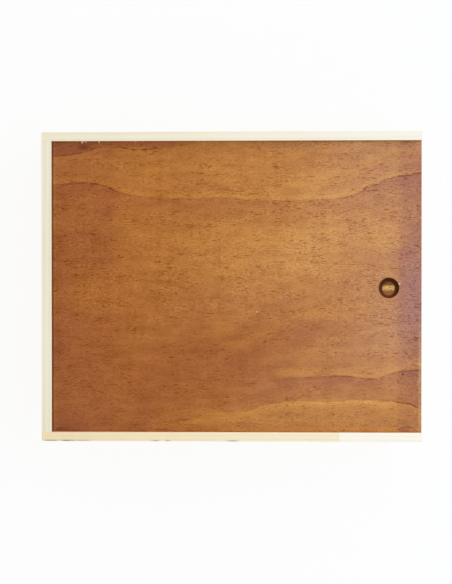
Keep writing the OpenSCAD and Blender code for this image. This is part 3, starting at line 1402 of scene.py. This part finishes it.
@dataclass(frozen=True)
class Walls:
    """The four pine walls, butted and nailed, grooved inside for the lid.

    Attributes:
        carcass: Sizes of the box.
        nailing: Its nails.
        back_pine: Wood of the back wall.
        front_pine: Wood of the front wall.
        end_pine: Wood of the end walls.
        torn_wood: Colour of the splinters, which dirt has darkened.
        lip_slivers: Points (x in mm, how far a splinter sticks out in mm) along the back wall's lip.
    """

    carcass: Carcass
    nailing: Nailing
    back_pine: PlanedPine = PlanedPine("F4E9D0", "F7ECDD", "EBDDB9", "DCC79A", (-60.0, 60.0), contrast=0.4,
                                       seed=1.0, lip_face_mm=(95.8, 99.7, 134.3))
    front_pine: FingerJointedPine = FingerJointedPine(
        near=PlanedPine("F4DFB8", "FAEACE", "ECD09A", "D9BE8A", (60.0, -190.0), contrast=0.45, seed=5.0,
                        lip_face_mm=(95.8, 99.3, 134.3), rubbed="C68C52"),
        far=PlanedPine("FBF1E0", "FBF1E0", "F2E6CC", "DECDA6", (20.0, -70.0), seed=9.0,
                       lip_face_mm=(95.8, 99.3, 134.3), rubbed="C68C52"),
        joint_mm=98.6,
        top_mm=100.0,
        arris_spots_mm=((-166.0, 7.5, 1.0), (-151.0, 8.5, 1.0), (-137.0, 9.0, 0.5), (-70.0, 5.0, 0.8),
                    (-58.5, 3.0, 0.8), (1.0, 7.0, 0.8)),
        edge_mm=-142.5,
    )
    end_pine: PlanedPine = PlanedPine("F2E8D2", "F2E8D2", "E6D8B2", "DCC79A", (20.0, -230.0), seed=13.0,
                                      lip_face_mm=(95.8, 100.2, 165.75))
    torn_wood: str = "CBAE80"
    lip_slivers: Curve = ((-142.4, 0.8), (-137.3, 2.4), (-134.4, 1.5), (-121.9, 1.8), (-88.1, 1.0),
                          (-31.0, 0.6), (64.0, 0.6))

    def long_wall(self, name: str, side: int, finish: Finish) -> None:
        """Makes one long wall.

        Args:
            name: Name of the CAD node.
            side: 1 for the back, -1 for the front.
            finish: Its wood.
        """
        box = self.carcass
        half = box.width / 2
        outline = [(side * (half - depth), z) for depth, z in box.grooved_outline(box.side_wall)]
        mesh = extruded(outline, (-box.length / 2, box.length / 2), Axis.X)
        soften(mesh, box.arris)
        wall = as_object(name + "_board", mesh)
        carve(wall, self.nailing.pits(self.nailing.corner_places(side)))
        material = finish.material(name + "_pine", ON_EDGE_X)
        hand_over(wall, material, Body.BOX, [name])

    def end_wall(self, name: str, side: int) -> None:
        """Makes one end wall, which stands between the long ones.

        Args:
            name: Name of the CAD node.
            side: 1 for the open end, -1 for the closed end.
        """
        box = self.carcass
        half = box.length / 2
        if side < 0:
            outline = [(depth - half, z) for depth, z in box.grooved_outline(box.end_wall)]
        else:
            outline = rectangle((box.inner_x, box.base), (half, box.groove_low))
        # Its ends are glued flush to the long walls: they fill those walls' rounded arrises, and only the
        # edges between them are rounded.
        end = box.inner_y + box.arris
        mesh = extruded(outline, (-end, end), Axis.Y)
        soften(mesh, box.arris / 2, Axis.Y)
        wall = as_object(name + "_board", mesh)
        carve(wall, box.housings())
        material = self.end_pine.material(name + "_pine", ON_EDGE_Y)
        hand_over(wall, material, Body.BOX, [name])

    def sliver(self, x: float, reach: float, lean: float) -> bmesh.types.BMesh:
        """Makes one splinter: a blunt wedge on the face of the back wall's lip.

        Args:
            x: Where it stands.
            reach: How far it sticks out.
            lean: How far its tip is bent along the lip.

        Returns:
            The splinter's mesh.
        """
        box = self.carcass
        half = 0.5 * reach
        root = box.inner_y + 0.1 * MM
        low, high = box.groove_high + 0.3 * MM, box.height - 0.8 * MM
        feet = [(x - half, root, low), (x + half, root, low), (x + 0.7 * half, root, high),
                (x - 0.8 * half, root, high)]
        mesh = bmesh.new()
        verts = [mesh.verts.new(foot) for foot in feet]
        tip = mesh.verts.new((x + lean, box.inner_y - reach, box.height - 2.6 * MM))
        for i in range(len(verts)):
            mesh.faces.new((verts[i], verts[(i + 1) % len(verts)], tip))
        mesh.faces.new(verts)
        bmesh.ops.recalc_face_normals(mesh, faces=mesh.faces)
        bmesh.ops.bevel(mesh, geom=list(mesh.edges), offset=0.08 * MM, segments=2, profile=0.5,
                        affect="EDGES", clamp_overlap=True)
        return mesh

    def slivers(self) -> None:
        """Leaves the splinters that the groove's saw tore from the back wall's lip."""
        rng = random.Random(4)
        most = 0.6
        parts = [self.sliver(x_mm * MM, reach_mm * MM, rng.uniform(-most, most) * MM)
                 for x_mm, reach_mm in self.lip_slivers]
        grimy = replace(self.back_pine, early_wood=self.torn_wood, far_wood=self.torn_wood, lip_face_mm=None)
        material = grimy.material("sliver_pine", ON_EDGE_X)
        hand_over(as_object("lip_slivers", merged(parts)), material, Body.BOX)

    def build(self) -> None:
        """Makes the four walls."""
        self.long_wall("back_wall", 1, self.back_pine)
        self.long_wall("front_wall", -1, self.front_pine)
        self.end_wall("closed_end_wall", -1)
        self.end_wall("open_end_wall", 1)
        self.slivers()


@dataclass(frozen=True)
class Base:
    """The plywood bottom, nailed on from below.

    Attributes:
        carcass: Sizes of the box.
        nailing: Its nails.
        finish: The sheet's wood.
    """

    carcass: Carcass
    nailing: Nailing
    finish: PoplarPly = PoplarPly(PlyEdge(0.0, 4.0, 3), seed=21.0)

    def build(self) -> None:
        """Makes the base."""
        box = self.carcass
        x, y = box.length / 2, box.width / 2
        mesh = extruded(rectangle((-x, -y), (x, y)), (0.0, box.base), Axis.Z)
        soften(mesh, box.arris / 2)
        panel = as_object("base_sheet", mesh)
        carve(panel, self.nailing.pits(self.nailing.base_places()))
        material = self.finish.material("base_poplar", LAID_FLAT)
        hand_over(panel, material, Body.BOX, ["base_panel"])


@dataclass(frozen=True)
class BottleRack:
    """The two dividers and the notched neck rest, halved into each other.

    Attributes:
        carcass: Sizes of the box.
        rest_x: Where the middle of the neck rest is.
        rest_thickness: Its thickness.
        rest_height: Its height above the base.
        neck_height: Height of the notches' centres.
        notch_radius: Radius of the notches.
        arc_steps: Number of facets that a notch's arc has.
    """

    carcass: Carcass
    rest_x: float = 105.5 * MM
    rest_thickness: float = 6 * MM
    rest_height: float = 44 * MM
    neck_height: float = 42 * MM
    notch_radius: float = 17 * MM
    arc_steps: int = 16

    def divider(self, name: str, side: int) -> None:
        """Makes one divider, slotted from below over the neck rest.

        Args:
            name: Name of the CAD node.
            side: 1 for the back, -1 for the front.
        """
        box = self.carcass
        end = box.inner_x + box.housing - box.fit
        half = self.rest_thickness / 2 + box.fit
        slot_top = box.base + self.rest_height / 2
        outline = [(-end, box.base), (self.rest_x - half, box.base), (self.rest_x - half, slot_top),
                   (self.rest_x + half, slot_top), (self.rest_x + half, box.base), (end, box.base),
                   (end, box.divider_top), (-end, box.divider_top)]
        middle = side * box.divider_off
        span = (middle - box.divider / 2, middle + box.divider / 2)
        mesh = extruded(outline, span, Axis.Y)
        soften(mesh, box.arris * 0.7)
        finish = PoplarPly(PlyEdge(span[0] / MM, box.divider / MM, 3), seed=31.0 + 7.0 * side)
        material = finish.material(name + "_poplar", ON_EDGE_X)
        hand_over(as_object(name + "_sheet", mesh), material, Body.BOX, [name])

    def rest_outline(self) -> list[Point]:
        """Draws the neck rest seen along the bottles, with its notches and half laps.

        Returns:
            Corners (y, z).
        """
        box = self.carcass
        top = box.base + self.rest_height
        end = box.inner_y - box.fit
        lap = box.divider / 2 + box.fit
        lap_floor = top - self.rest_height / 2
        outline = [(-end, box.base), (end, box.base), (end, top)]
        for middle in (2 * box.divider_off, 0.0, -2 * box.divider_off):
            outline.append((middle + self.notch_radius, top))
            outline += [(middle + self.notch_radius * math.cos(turn),
                         self.neck_height + self.notch_radius * math.sin(turn))
                        for turn in evenly(0.0, -math.pi, self.arc_steps + 1)]
            outline.append((middle - self.notch_radius, top))
            if middle > -box.divider_off:
                lap_middle = middle - box.divider_off
                outline += [(lap_middle + lap, top), (lap_middle + lap, lap_floor),
                            (lap_middle - lap, lap_floor), (lap_middle - lap, top)]
        outline.append((-end, top))
        return outline

    def neck_rest(self) -> None:
        """Makes the neck rest."""
        span = (self.rest_x - self.rest_thickness / 2, self.rest_x + self.rest_thickness / 2)
        mesh = extruded(self.rest_outline(), span, Axis.X)
        soften(mesh, self.carcass.arris * 0.8)
        finish = PoplarPly(PlyEdge(span[0] / MM, self.rest_thickness / MM, 5), seed=47.0)
        material = finish.material("neck_rest_poplar", ON_EDGE_Y)
        hand_over(as_object("neck_rest_sheet", mesh), material, Body.BOX, ["neck_rest"])

    def build(self) -> None:
        """Makes the rack."""
        self.divider("back_divider", 1)
        self.divider("front_divider", -1)
        self.neck_rest()


UPPER_RING = GrowthLine(
    course_mm=((-169, 94.4), (-155, 95.2), (-140, 96.7), (-127, 95.8), (-115, 92.7), (-105, 88.1),
               (-90, 84.6), (-70, 82.4), (-40, 81.5), (-10, 82.4), (5, 81.9), (18, 79.2), (40, 79.2),
               (70, 79.8), (95, 81.4), (105.9, 82.9), (110.5, 84.1), (117.4, 86.6), (122, 89.4),
               (123.1, 91.7), (126.6, 92.9), (136.2, 94.8), (138.1, 96.6), (141.9, 98.6), (146.1, 99.9),
               (156.9, 102.3), (165.3, 102.7), (167.6, 104.4), (175, 104.8)),
    tone=((-50, 0.0), (-30, 0.15), (-18, 0.08), (-9, -0.02), (-1.2, -0.06), (-0.4, 0.05), (0.5, 0.3),
          (1.6, 0.45), (4, 0.32), (9, 0.16), (18, 0.24), (30, 0.0)),
    strength=((-169, 0.75), (-95, 0.85), (30, 1.0), (100, 1.15), (175, 1.0)),
    seam=((-169, 0.25), (-145, 0.3), (-130, 0.6), (-110, 0.6), (-104, 0.25), (-80, 0.2), (-40, 0.15),
          (60, 0.2), (100, 0.4), (120, 0.68), (150, 0.66), (175, 0.6)),
)
TOP_PATCH_RING = GrowthLine(
    course_mm=((-169, 121.4), (-155, 121.9), (-145, 123.4), (-135, 125.1), (-125, 128.6), (-110, 129.9),
               (-85, 126.9), (-65, 129.2), (-45, 131.5), (-30, 134.5)),
    tone=((-8, 0.0), (-3, 0.06), (-0.4, -0.05), (0.5, -0.28), (1.5, -0.4), (4, -0.46), (10, -0.4)),
    strength=((-169, 0.75), (-152, 0.85), (-137, 1.1), (-122, 0.65), (-106, 0.65), (-90, 1.0), (-60, 0.9),
              (-35, 0.6), (-25, 0.0)),
    seam=((-169, 0.3), (-150, 0.6), (-132, 0.8), (-115, 0.2), (-104, 0.5), (-92, 1.1), (-74, 1.0),
          (-58, 0.5), (-30, 0.0)),
)
MIDDLE_RING = GrowthLine(
    course_mm=((-5, -51), (8, -49.5), (25, -42), (45, -32), (65, -24.8), (85, -18), (105, -17), (125, -13.4),
               (145, -3.2)),
    tone=((-30, 0.0), (-18, -0.14), (-9, -0.02), (-2, 0.08), (-0.3, 0.12), (0.5, -0.06), (4, -0.12),
          (12, -0.12), (22, 0.0)),
    strength=((-12, 0.0), (10, 1.0), (110, 0.9), (140, 0.3), (150, 0.0)),
    seam=((-12, 0.0), (20, 0.15), (60, 0.1), (150, 0.0)),
)
LOWER_RING = GrowthLine(
    course_mm=((42, -84.6), (60, -83.6), (80, -82.9), (100, -82.0), (115, -83.1), (130, -84.5), (140, -82.2),
               (150, -78.8), (160, -77.4), (175, -76)),
    tone=((-22, 0.0), (-12, -0.06), (-6, -0.24), (-1.2, -0.28), (-0.4, -0.1), (0.5, 0.16), (1.6, 0.28),
          (4, 0.29), (10, 0.06), (20, 0.0)),
    strength=((40, 0.0), (52, 0.9), (175, 1.0)),
    seam=((40, 0.0), (70, 0.36), (100, 0.52), (130, 0.68), (175, 0.6)),
)
BOTTOM_RING = GrowthLine(
    course_mm=((-80, -127.6), (-60, -125.6), (-45, -124.7), (-35, -122.4), (-25, -117.7), (-15, -116.3),
               (5, -115.6), (19.5, -113.2), (24.1, -111.8), (27.3, -109.5), (34.5, -108.4), (41.4, -107.9),
               (50.6, -106.1), (59.8, -105.3), (90.9, -106.1), (104.7, -104.9), (117.4, -103.8),
               (126.6, -104.7), (143.8, -104.7), (155.4, -106.5), (164.6, -107.6), (168.1, -109.5),
               (175, -112.5)),
    tone=((-25, 0.0), (-12, 0.03), (-7, 0.2), (-3, 0.55), (-0.8, 0.66), (-0.1, 0.3), (0.5, -0.1), (4, -0.1),
          (10, -0.08), (22, 0.0)),
    strength=((-85, 0.0), (-60, 0.4), (10, 0.5), (35, 1.0), (175, 1.0)),
    seam=((-85, 0.0), (-55, 0.3), (0, 0.15), (60, 0.25), (110, 0.33), (140, 0.7), (162, 1.1), (175, 1.35)),
)
LID_PATCHES = (
    StainPatch((2, -75), (158, 57), -0.36),
    StainPatch((12, 25), (158, 47), 0.39),
    StainPatch((59, 143), (83, 24), -0.7),
    StainPatch((-149, -140), (32, 36), -0.46),
    StainPatch((-76, -127), (54, 65), -0.3),
    StainPatch((168, -10), (27, 65), -0.33),
    StainPatch((139, 44), (33, 22), 0.47),
    StainPatch((-129, -5), (43, 36), 0.3),
    StainPatch((71, -42), (38, 22), -0.33),
    StainPatch((-31, 115), (120, 14), 0.31),
    StainPatch((150, 95), (60, 60), -0.22),
    # Painted light along the front lip, against its shade.
    StainPatch((0, -122), (80, 14), 0.1),
    StainPatch((-128, 94.8), (6, 2.2), -0.55),
    StainPatch((-111.6, 90.7), (3.6, 1.8), -0.75),
    StainPatch((137, 96.3), (2.6, 2.0), -0.6),
    StainPatch((122.5, 89.6), (3.4, 1.6), -0.5),
    StainPatch((-45, -122.7), (14, 1.6), -0.5),
    StainPatch((159, -132), (9, 3.5), -0.4),
    StainPatch((-136, 129), (11, 4.2), -0.6),
    StainPatch((-88, -127.5), (9, 1.2), -0.55),
    StainPatch((-4, -114.6), (12, 1.2), -0.5),
    StainPatch((-157, -131.5), (11, 2.2), -0.45),
    StainPatch((-66, -131.6), (12, 1.2), -0.4),
    StainPatch((-88, 127), (18, 9), 0.22),
    StainPatch((-116, 70), (18, 14), -0.22),
    StainPatch((-6, -40), (20, 12), 0.22),
    StainPatch((-62, -118), (24, 20), 0.2),
    StainPatch((156, 31), (18, 16), -0.34),
    StainPatch((92, -86), (40, 20), -0.14),
    # Painted shade along the closed end's lip.
    StainPatch((-163, -52), (15, 34), -0.22),
)
# Round marks and scrapes: the pin knot, the chip beside the recess, scrapes that filled with stain at the
# recess and near the front corner, and a bare fleck in the middle.
LID_MARKS = (
    FaceMark((157.7, -80.7), (1.4, 0.9), "2A1206"),
    FaceMark((154.6, 2.7), (1.1, 0.8), BARE_BIRCH),
    FaceMark((169.3, 4.6), (0.8, 1.1), SUNK_STAIN_AND_SHADOW, 0.45),
    FaceMark((168.0, 2.0), (0.8, 1.6), SUNK_STAIN_AND_SHADOW, 0.45),
    FaceMark((165.4, -0.9), (1.3, 0.9), SUNK_STAIN_AND_SHADOW, 0.45),
    FaceMark((154.6, -131.3), (2.0, 0.9), SUNK_STAIN_AND_SHADOW, 0.45),
    FaceMark((157.4, -129.9), (2.4, 0.9), SUNK_STAIN_AND_SHADOW, 0.45),
    FaceMark((161.4, -129.4), (3.2, 0.8), SUNK_STAIN_AND_SHADOW, 0.45),
    FaceMark((166.0, -129.9), (2.6, 0.8), SUNK_STAIN_AND_SHADOW, 0.45),
    FaceMark((23.7, -23.2), (0.65, 0.65), BARE_BIRCH),
)
LID_BASE_TONE = ((-169, 0.2), (-163, 0.15), (-150, 0.15), (-125, 0.16), (-112, 0.2), (-108, 0.3),
                 (-85, 0.42), (-50, 0.45), (-10, 0.58), (40, 0.75), (90, 0.9), (130, 0.84), (146, 0.84),
                 (154.5, 0.61), (160, 0.48), (175, 0.32))
# Painted light: the lid is lighter near its long edges, against the lips' shade.
LID_EDGE_TONE = ((-137.5, 0.0), (-122, 0.05), (-105, 0.0), (112, 0.0), (126, 0.08), (137.5, 0.1))
LID_TEXTURE_RUN = ((-169, 1.05), (-60, 1.0), (60, 0.95), (120, 1.0), (150, 1.04), (175, 1.25))
LID_TEXTURE_WIDTH = ((-137.5, 0.8), (-105, 0.8), (-60, 0.82), (-20, 0.98), (40, 1.12), (75, 1.08),
                     (95, 0.95), (137.5, 0.93))
# Painted light beside the lips, partly stain worn thin by them: along the lid, then across it.
LID_WORN_AND_LIT_RUN = ((-169, 1.2), (-165, 1.45), (-163.6, 1.62), (-162.9, 1.4), (-162, 1.2), (-161, 1.12),
                 (-159, 1.06), (-156, 1.0), (175, 1.0))
LID_WORN_AND_LIT_WIDTH = ((-137.5, 1.15), (-134, 1.28), (-131, 1.2), (-129.3, 1.06), (-127, 1.0), (-123, 1.0),
                   (122, 1.0), (127, 1.06), (131, 1.14), (131.9, 1.18), (132.8, 1.32),
                   (134, 1.4), (137.5, 1.2))


@dataclass(frozen=True)
class Lid:
    """The sliding lid: a plywood sheet with a thumb recess near its open end.

    Attributes:
        carcass: Sizes of the box.
        recess: The thumb recess.
        left: Where the lid starts, inside the closed end wall's groove.
        half_width: Half its width.
        low: Height of its underside.
        high: Height of its face.
        sides: Number of facets round the recess.
        cove_steps: Number of facets that the cove has, from floor to wall.
    """

    carcass: Carcass
    recess: ThumbRecess = ThumbRecess()
    left: float = -169 * MM
    half_width: float = 137.5 * MM
    low: float = 90.7 * MM
    high: float = 95.7 * MM
    sides: int = 72
    cove_steps: int = 8

    def finish(self) -> StainedPly:
        """Gathers the figure and the colours of the face.

        Returns:
            The lid's finish.
        """
        return StainedPly(
            edge=PlyEdge(self.low / MM, (self.high - self.low) / MM, 3, "A5703C", "6E3E1C"),
            recess=self.recess,
            lines=(UPPER_RING, TOP_PATCH_RING, MIDDLE_RING, LOWER_RING, BOTTOM_RING),
            patches=LID_PATCHES,
            marks=LID_MARKS,
            base_tone=LID_BASE_TONE,
            edge_tone=LID_EDGE_TONE,
            texture_run=LID_TEXTURE_RUN,
            texture_width=LID_TEXTURE_WIDTH,
            worn_and_lit_run=LID_WORN_AND_LIT_RUN,
            worn_and_lit_width=LID_WORN_AND_LIT_WIDTH,
        )

    def cutter(self) -> bmesh.types.BMesh:
        """Makes the round cutter of the recess: a flat floor, a cove and a short straight wall.

        Returns:
            The cutter's mesh.
        """
        recess = self.recess
        radius, depth, cove = recess.radius_mm * MM, recess.depth_mm * MM, recess.cove_mm * MM
        over = 1 * MM
        outline = [(0.0, -depth)]
        for turn in evenly(-math.pi / 2, 0.0, self.cove_steps + 1):
            outline.append((radius - cove + cove * math.cos(turn), cove - depth + cove * math.sin(turn)))
        outline += [(radius, over), (0.0, over)]
        place = Matrix.Translation((recess.centre_mm[0] * MM, recess.centre_mm[1] * MM, self.high))
        return lathed(outline, self.sides, place)

    def build(self) -> None:
        """Makes the lid."""
        right = self.carcass.length / 2
        outline = rectangle((self.left, -self.half_width), (right, self.half_width))
        mesh = extruded(outline, (self.low, self.high), Axis.Z)
        soften(mesh, self.carcass.arris)
        sheet = as_object("lid_sheet", mesh)
        carve(sheet, [self.cutter()])
        material = self.finish().material("lid_stained_plywood", LAID_FLAT)
        hand_over(sheet, material, Body.LID, ["sliding_lid"])
        bored = StainedRecess(self.recess).material("lid_recess", LAID_FLAT)
        sheet.data.materials.append(bored)
        middle = Vector(self.recess.centre_mm) * MM
        slack = 0.01 * MM
        for face in sheet.data.polygons:
            inside = (face.center.xy - middle).length < self.recess.radius_mm * MM + slack
            if inside and self.low + MM < face.center.z < self.high - slack:
                face.material_index = 1


@dataclass(frozen=True)
class SoftBox:
    """A large soft lamp.

    Attributes:
        name: Its name.
        place: Its middle.
        target: What it points at.
        size: Its width and height.
        radiance: How bright its face is; a white card lit to 1 looks as bright as a face of 1.
        tint: Its colour.
    """

    name: str
    place: tuple[float, float, float]
    target: tuple[float, float, float]
    size: Point
    radiance: float
    tint: str

    def hang(self) -> None:
        """Puts the lamp into the scene."""
        data = bpy.data.lights.new(self.name, "AREA")
        data.shape = "RECTANGLE"
        data.size, data.size_y = self.size
        data.energy = self.radiance * math.pi * self.size[0] * self.size[1]
        data.color = linear(self.tint)[:3]
        lamp = bpy.data.objects.new(self.name, data)
        lamp.location = self.place
        aim = Vector(self.target) - Vector(self.place)
        lamp.rotation_euler = aim.to_track_quat("-Z", "Y").to_euler()
        bpy.context.scene.collection.objects.link(lamp)
        LOG.info("%s: %.1f W", self.name, data.energy)


@dataclass(frozen=True)
class Pane:
    """One pane of the window overhead, level with the others.

    Attributes:
        name: Its name.
        span_x: Where it starts and ends along X.
        span_y: Where it starts and ends along Y.
        radiance: How bright it is.
    """

    name: str
    span_x: Point
    span_y: Point
    radiance: float

    def lamp(self, height: float, tint: str) -> SoftBox:
        """Makes the pane's lamp, which faces down.

        Args:
            height: Height of the window.
            tint: Colour of its light.

        Returns:
            The lamp.
        """
        x, y = sum(self.span_x) / 2, sum(self.span_y) / 2
        size = (self.span_x[1] - self.span_x[0], self.span_y[1] - self.span_y[0])
        return SoftBox(self.name, (x, y, height), (x, y, 0.0), size, self.radiance, tint)


@dataclass(frozen=True)
class Studio:
    """A pale room: a white card floor, light walls, a dim ceiling, and a cool window high on the right.

    Attributes:
        panes: The window's panes, which the lid mirrors as a haze.
        window_height: Height of the window.
        window_tint: Colour of its light.
        side_lamp: A warm lamp on the right.
        floor_finish: How the floor card looks.
        floor_half: Half the card's length and width.
        floor_drop: How far the card lies under the base, so that the two don't meet.
        opening_half: Half the length and width of the card's opening under the base.
        walls: Colour of the room's walls.
        ceiling: Colour of its ceiling.
        under_floor: Colour of the light from below.
        under_top: Where the light from below ends; heights go from -1, straight down, to 1, straight up.
        wall_foot: Where the walls start.
        wall_top: Where they end.
        ceiling_start: Where the ceiling is fully dim.
        room_strength: Brightness of the room.
        lens_mm: Focal length of the camera.
        sensor_mm: Width of its sensor.
        camera_place: Where it hangs.
        camera_turn_deg: How it is turned from looking straight down.
    """

    panes: tuple[Pane, ...] = (
        Pane("left_pane", (-0.26, -0.08), (-0.16, 0.8), 0.3),
        Pane("front_edge_pane", (-0.08, 0.2), (-0.7, 0.1), 0.92),
        Pane("back_edge_pane", (-0.08, 0.1), (0.1, 0.8), 0.66),
        Pane("back_middle_pane", (0.1, 0.2), (0.1, 0.8), 0.25),
        Pane("low_pane", (0.2, 0.9), (-0.7, -0.27), 1.3),
        Pane("near_front_pane", (0.2, 0.36), (-0.27, 0.1), 3.0),
        Pane("near_back_pane", (0.2, 0.36), (0.1, 0.8), 0.95),
        Pane("far_front_pane", (0.36, 0.9), (-0.27, 0.1), 4.75),
        Pane("far_back_pane", (0.36, 0.9), (0.1, 0.8), 2.62),
    )
    window_height: float = 1.5
    window_tint: str = "8ED1FF"
    side_lamp: SoftBox = SoftBox("side_lamp", (1.3, 0.5, 1.1), (0.0, 0.0, 0.0), (0.9, 0.9), 1.3, "FFF4E4")
    floor_finish: PaleCard = PaleCard()
    floor_half: float = 20.0
    floor_drop: float = 0.02 * MM
    opening_half: Point = (172 * MM, 139.5 * MM)
    walls: str = "FFF6E9"
    ceiling: str = "5A5A5A"
    under_floor: str = "C9C4BC"
    under_top: float = -0.5
    wall_foot: float = -0.2
    wall_top: float = 0.7
    ceiling_start: float = 0.92
    room_strength: float = 1.2
    lens_mm: float = 85.0
    sensor_mm: float = 36.0
    camera_place: tuple[float, float, float] = (0.0301, 0.0067, 1.3675)
    camera_turn_deg: tuple[float, float, float] = (-0.524, 1.575, -0.012)

    def room(self) -> None:
        """Lights the scene from pale walls, which fade to a dim ceiling and to a dimmer light from below."""
        world = bpy.data.worlds.new("pale_room")
        world.use_nodes = True
        world.node_tree.nodes.clear()
        graph = Graph(world.node_tree)
        rise = graph.add("SeparateXYZ", [graph.add("TexCoord", out="Generated")], out="Z")
        share = graph.add("MapRange", [rise, -1.0, 1.0, 0.0, 1.0])
        heights = (self.wall_foot, self.ceiling_start, self.under_top, self.wall_top)
        colours = (self.walls, self.ceiling, self.under_floor, self.walls)
        stops = [((height + 1) / 2, shade) for height, shade in zip(heights, colours)]
        colour = graph.add("ValToRGB", [share], stops=stops)
        light = graph.add("Background", {"Color": colour, "Strength": self.room_strength})
        graph.add("OutputWorld", {"Surface": light})
        bpy.context.scene.world = world

    def floor(self) -> None:
        """Lays the card that the box stands on, cut out under the base so that this shows from below."""
        mesh = bmesh.new()
        rings = []
        for x, y in ((self.floor_half, self.floor_half), self.opening_half):
            corners = rectangle((-x, -y), (x, y))
            rings.append([mesh.verts.new((a, b, -self.floor_drop)) for a, b in corners])
        for i in range(4):
            j = (i + 1) % 4
            mesh.faces.new((rings[0][i], rings[0][j], rings[1][j], rings[1][i]))
        card = as_object("floor_card", mesh)
        card.data.materials.append(self.floor_finish.material("pale_card"))

    def camera(self) -> None:
        """Sets the camera above the box, a little towards its open end, as the photograph was taken."""
        data = bpy.data.cameras.new("overhead")
        data.lens = self.lens_mm
        data.sensor_width = self.sensor_mm
        camera = bpy.data.objects.new("overhead", data)
        camera.location = self.camera_place
        camera.rotation_euler = [math.radians(a) for a in self.camera_turn_deg]
        bpy.context.scene.collection.objects.link(camera)
        bpy.context.scene.camera = camera

    def build(self) -> None:
        """Sets the room, the floor, the lamps and the camera."""
        bpy.context.scene.view_settings.view_transform = "Standard"
        self.room()
        self.floor()
        for pane in self.panes:
            pane.lamp(self.window_height, self.window_tint).hang()
        self.side_lamp.hang()
        self.camera()


def main() -> None:
    """Builds the box and its studio."""
    logging.basicConfig(level=logging.INFO, format="%(message)s")
    carcass = Carcass()
    nailing = Nailing(carcass)
    Walls(carcass, nailing).build()
    Base(carcass, nailing).build()
    BottleRack(carcass).build()
    Lid(carcass).build()
    nailing.build("back_wall_nails", nailing.corner_places(1), nailing.corner_length)
    nailing.build("front_wall_nails", nailing.corner_places(-1), nailing.corner_length)
    nailing.build("base_nails", nailing.base_places(), nailing.base_length)
    Studio().build()


if __name__ == "__main__":
    main()
